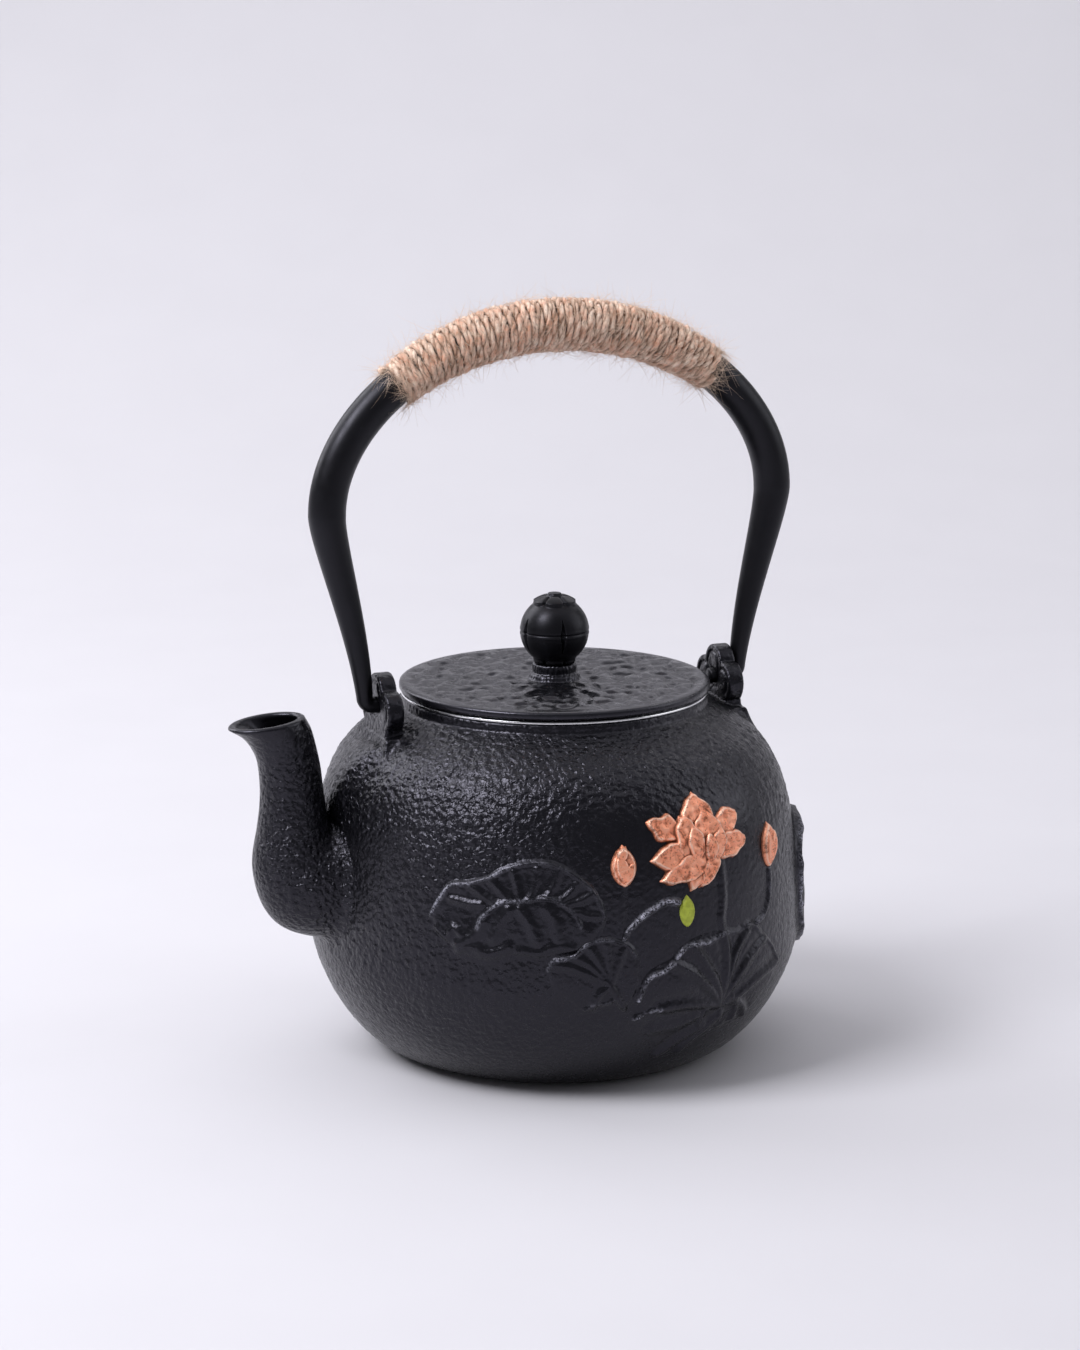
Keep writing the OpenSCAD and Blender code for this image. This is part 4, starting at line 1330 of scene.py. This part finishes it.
def make_flower():
    """Open flower of crumpled petals, and a low disc that fills the gaps between them."""
    # Petals, the outer ones first: base, tip, half-width, height, cup
    petals = [
        ((5.6, 1.6), (17.9, 7.6), 4.3, 1.25, 0.40),
        ((-6.6, 3.4), (-19.0, 8.6), 4.4, 1.3, 0.40),
        ((-0.5, -2.0), (0.3, 16.2), 6.9, 1.5, 0.35),
        ((3.6, -3.6), (19.8, -1.3), 4.7, 1.7, 0.50),
        ((0.4, -3.6), (-5.6, -14.8), 4.0, 1.8, 0.35),
        ((-1.0, -3.4), (-19.2, -3.3), 5.1, 2.0, 0.55),
        ((5.8, -3.2), (-2.8, -14.4), 3.4, 2.15, 0.45),
        ((3.4, -4.0), (-16.4, -10.6), 4.7, 2.25, 0.55),
        ((3.0, -6.6), (1.8, 10.6), 6.9, 2.1, 0.60),
        ((-4.4, -5.6), (-6.8, 9.8), 5.0, 2.25, 0.60),
        ((4.8, -6.4), (7.6, 5.2), 3.4, 2.7, 0.50),
        ((-2.2, -6.4), (-3.8, 7.0), 3.7, 2.75, 0.60),
        ((1.8, -6.8), (2.6, 3.6), 3.0, 2.95, 0.50),
    ]

    rng = np.random.default_rng(5)

    def height(u, v):
        creases, shift_u, shift_v = [grid_noise(*u.shape, FLOWER_STEP, FLOWER_STEP, size, rng)
                                     for size in (3.6, 6, 6)]
        u = u + 0.20 * shift_u
        v = v + 0.20 * shift_v
        disc = np.where(np.hypot(u + 0.5, v + 0.5) < 6.5, 0.8, -1.0)
        h = np.maximum(disc, tallest(u, v, petals))
        return np.where(h > 0, np.clip(h + 0.13 * creases * np.minimum(h, 1), 0.05, 3.15), h)

    relief_patch("lotus_flower_leafed", angle=14.5, z=82.3, half_u=21, half_v=18,
                 step=FLOWER_STEP, height=height, node="lotus_flower", slot="copper_leaf",
                 material=COPPER, values={"high": edge_light_and_groove_shade})


def make_buds():
    """Two closed buds and the green sepal."""
    # Node, angle, height on the body, half-width of the patch, petals as in the flower
    buds = [
        ("lotus_bud_front", -6.4, 78, 6, [
            ((0.4, -6.4), (0.2, 6.8), 4.3, 1.5, 0.05), ((0.8, -5.8), (-1.6, 4.8), 2.7, 2.2, 0.35),
            ((0.4, -6.0), (3.4, 2.0), 2.3, 2.15, 0.30), ((-1.8, 0.8), (1.4, 6.2), 2.3, 2.3, 0.30)]),
        ("lotus_bud_side", 39, 75, 6.5, [
            ((-2.4, -6.4), (0.8, 7.6), 4.2, 1.7, 0.05), ((-2.2, -6.0), (-1.4, 6.4), 2.2, 2.2, 0.35),
            ((-1.6, -5.6), (3.0, 5.4), 2.5, 2.3, 0.30)]),
    ]
    for node, angle, z, half_u, petals in buds:
        relief_patch(node + "_leafed", angle, z, half_u, 8.5, FLOWER_STEP,
                     lambda u, v, petals=petals: tallest(u, v, petals), node, "copper_leaf",
                     COPPER, {"high": edge_light_and_groove_shade})
    sepal = [((0, -5.1), (0, 5.1), 2.9, 1.1, 0.1)]
    relief_patch("green_sepal_painted", angle=9.2, z=62.0, half_u=4, half_v=6, step=FLOWER_STEP,
                 height=lambda u, v: tallest(u, v, sepal), node="green_sepal",
                 slot="green_paint", material=GREEN)


# ---------------------------------------------------------------- infuser

WIRE_R, WIRE_SIDES = 0.13, 4
WIRE_WAVE = 0.11  # how far a wire bends to each side to pass over and under the others


def woven_wall():
    """Wire cloth round the basket: upright wires and hoops that pass over and under each other."""
    uprights = 176
    mid_r = BASKET_R - 0.25
    pitch = 2 * np.pi * mid_r / uprights
    low = BASKET_Z + 1.4
    hoops = int((NECK_Z + 4 - low) / pitch)
    z = low + pitch * np.arange(0, hoops, 0.5)
    parts = []
    for k in range(uprights):
        a = 2 * np.pi * k / uprights
        r = mid_r + WIRE_WAVE * np.sin(np.pi * (z - low) / pitch + np.pi * k)
        centres = np.stack([r * math.cos(a), r * math.sin(a), z], axis=1)
        out = np.tile([math.cos(a), math.sin(a), 0], (len(z), 1))
        along = np.tile([-math.sin(a), math.cos(a), 0], (len(z), 1))
        parts.append(sweep(centres, out, along, WIRE_R, WIRE_SIDES, caps=False))
    place = np.arange(0, uprights, 0.5)
    a = 2 * np.pi * place / uprights
    out = np.stack([np.cos(a), np.sin(a), 0 * a], axis=1)
    up = np.tile([0, 0, 1.0], (len(a), 1))
    for i in range(hoops):
        r = mid_r - WIRE_WAVE * np.sin(np.pi * place + np.pi * i + np.pi / 2)
        height = np.full(len(a), low + pitch * (i + 0.5))
        centres = np.stack([r * np.cos(a), r * np.sin(a), height], axis=1)
        points, _ = sweep(centres, out, up, WIRE_R, WIRE_SIDES, caps=False)
        parts.append((points, [ring_quads(len(a), WIRE_SIDES, close_rings=True)[:, ::-1]]))
    piece(add_mesh("basket_wire_cloth", *merged(parts)), "infuser", "stainless_steel", STEEL,
          "infuser_wall")


def woven_base():
    """Flat disc of wire cloth in the bottom of the basket."""
    pitch, height, shortest = 1.5, BASKET_Z + 1.05, 2
    limit = BASKET_R - 0.6
    parts = []
    for way, across in enumerate(([1.0, 0, 0], [0, 1.0, 0])):
        for i, c in enumerate(np.arange(-limit, limit, pitch)):
            reach = math.sqrt(max(limit**2 - c**2, 0))
            if reach < shortest:
                continue
            run = np.arange(-reach, reach, pitch / 2)
            flat = np.full(len(run), c)
            wave = (WIRE_WAVE if way else -WIRE_WAVE) * np.cos(np.pi * run / pitch + np.pi * (i + way))
            z = height + wave
            centres = np.stack([run, flat, z] if way else [flat, run, z], axis=1)
            axes = [np.tile(v, (len(run), 1)) for v in (across, [0, 0, 1.0])]
            parts.append(sweep(centres, *axes, WIRE_R, WIRE_SIDES, caps=False))
    piece(add_mesh("basket_base_cloth", *merged(parts)), "infuser", "stainless_steel", STEEL,
          "infuser_base_mesh")


def make_basket_rim():
    """Flange and neck of thin steel sheet: the flange's edge is the bright line under the lid."""
    sheet, edge, sides = 0.78, 49.9, 240
    inner, neck = BASKET_R, BASKET_R + 0.8
    top = MOUTH_Z + 0.8
    low = top - sheet
    # Section of the sheet, up the outside and down the inside: radius and height
    profile = np.array([
        (neck, NECK_Z + 0.2), (neck, NECK_Z + 2), (neck, low - 0.9), (neck + 0.25, low - 0.25),
        (neck + 0.9, low), (edge - 0.12, low), (edge, low + 0.06), (edge, top - 0.08),
        (edge - 0.10, top), (inner + 1.1, top), (inner + 0.35, top - 0.25), (inner, top - 1.0),
        (inner, NECK_Z + 2), (inner, NECK_Z + 0.2), (inner + 0.4, NECK_Z),
    ])
    a = np.radians(np.arange(sides) * 360 / sides)
    rings = np.stack([
        profile[:, :1] * np.sin(a), -profile[:, :1] * np.cos(a), profile[:, 1:] + 0 * a,
    ], axis=-1)
    faces = ring_quads(len(profile), sides, close_rings=True)
    piece(add_mesh("basket_rim_sheet", rings.reshape(-1, 3), [faces]), "infuser",
          "stainless_steel", STEEL, "infuser_rim")


def finish_cad_nodes():
    """CAD nodes whose shape is already right only get their material."""
    for node in ("infuser_base_band", "knob_screw", "knob_washer"):
        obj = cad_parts[node]
        obj.data.materials.clear()
        obj.data.materials.append(STEEL)


# ---------------------------------------------------------------- stage, light and camera

CAMERA_TURN, CAMERA_RISE, CAMERA_AWAY = 22, 12.46, 1.2
CAMERA_LENS, CAMERA_SENSOR = 98.47, 36
AIM_UP, AIM_LEFT = 0.12196, 0.0047


def make_camera():
    """Camera at the photograph's viewing angle. Gives back the ways towards it and to its right."""
    turn, rise = math.radians(CAMERA_TURN), math.radians(CAMERA_RISE)
    back = Vector((-math.sin(turn) * math.cos(rise), -math.cos(turn) * math.cos(rise),
                   math.sin(rise)))
    right = Vector((math.cos(turn), -math.sin(turn), 0))
    camera = bpy.data.objects.new("camera", bpy.data.cameras.new("camera"))
    camera.data.lens = CAMERA_LENS
    camera.data.sensor_width = CAMERA_SENSOR
    camera.data.clip_start = 0.05
    camera.location = Vector((0, 0, AIM_UP)) + right * -AIM_LEFT + back * CAMERA_AWAY
    camera.rotation_euler = back.to_track_quat("Z", "Y").to_euler()
    bpy.context.scene.collection.objects.link(camera)
    bpy.context.scene.camera = camera
    return back, right


def make_stage(back):
    """Seamless pale floor that curves up into a backdrop behind the object."""
    near, flat, radius, wall_top, half_wide = -1500.0, 700.0, 900.0, 3200.0, 3000.0
    n = Nodes("paper")
    tint = n.mix(n.noise(60, detail=2), (0.615, 0.605, 0.635), (0.64, 0.63, 0.66))
    away = Vector((-back.x, -back.y, 0)).normalized()
    side = Vector((away.y, -away.x, 0))
    bend = np.radians(np.linspace(0, 90, 24))
    profile = [(near, 0.0)]
    profile += [(flat + radius * math.sin(a), radius * (1 - math.cos(a))) for a in bend]
    profile.append((flat + radius, wall_top))
    points = []
    for d, z in profile:
        for w in (-half_wide, half_wide):
            p = away * d + side * w
            points.append((p.x, p.y, z))
    quads = [(2 * i, 2 * i + 1, 2 * i + 3, 2 * i + 2) for i in range(len(profile) - 1)]
    floor = add_mesh("studio_paper", points, [quads])
    floor.data.materials.append(n.finish(Base_Color=tint, Roughness=0.9, Specular_IOR_Level=0.2))


def area_light(name, place, target, size, power, colour):
    """Rectangular soft light aimed at a target."""
    light = bpy.data.lights.new(name, "AREA")
    light.shape = "RECTANGLE"
    light.size, light.size_y = size
    light.energy = power
    light.color = colour
    obj = bpy.data.objects.new(name, light)
    obj.location = place
    obj.rotation_euler = (place - target).to_track_quat("Z", "Y").to_euler()
    bpy.context.scene.collection.objects.link(obj)


def make_lights(back, right):
    """Soft studio light: places are metres to the camera's right, towards it and up."""
    toward = Vector((back.x, back.y, 0)).normalized()
    focus = Vector((0, 0, 0.1))

    def place(sideways, forward, upward):
        return focus + right * sideways + toward * forward + Vector((0, 0, upward))

    lights = [
        ("key", (-0.75, 0.45, 0.94), focus, (0.6, 0.6), 15, (0.96, 0.96, 1.0)),
        ("top", (0, -0.35, 1.6), focus, (3.0, 3.0), 16.5, (0.97, 0.97, 1.0)),
        ("side", (-1.02, -0.64, 0.68), focus, (0.8, 0.9), 7.5, (0.95, 0.95, 1.0)),
        ("fill", (1.3, -0.1, 0.6), focus, (1.0, 1.0), 4.5, (0.96, 0.97, 1.0)),
        ("rear", (0, -0.95, 0.85), place(0, -0.85, -0.1), (1.9, 0.5), 3.3, (1.0, 0.985, 1.0)),
    ]
    for name, where, target, size, power, colour in lights:
        area_light(name, place(*where), target, size, power, colour)
    world = bpy.data.worlds.new("studio")
    world.use_nodes = True
    sky = world.node_tree.nodes["Background"].inputs
    sky["Color"].default_value = (0.86, 0.86, 0.92, 1)
    sky["Strength"].default_value = 0.23
    bpy.context.scene.world = world


camera_back, camera_right = make_camera()
make_stage(camera_back)
make_lights(camera_back, camera_right)
make_vessel()
make_spout()
make_lug(-1, "spout_side_lug_casting", "spout_side_lug")
make_lug(1, "rear_lug_casting", "rear_lug")
make_lid()
make_knob()
make_bail()
make_wrap(RNG)
make_fibres(RNG)
make_leaves()
make_stems()
make_flower()
make_buds()
make_basket_rim()
woven_wall()
woven_base()
finish_cad_nodes()

bpy.context.scene.view_settings.view_transform = "Standard"
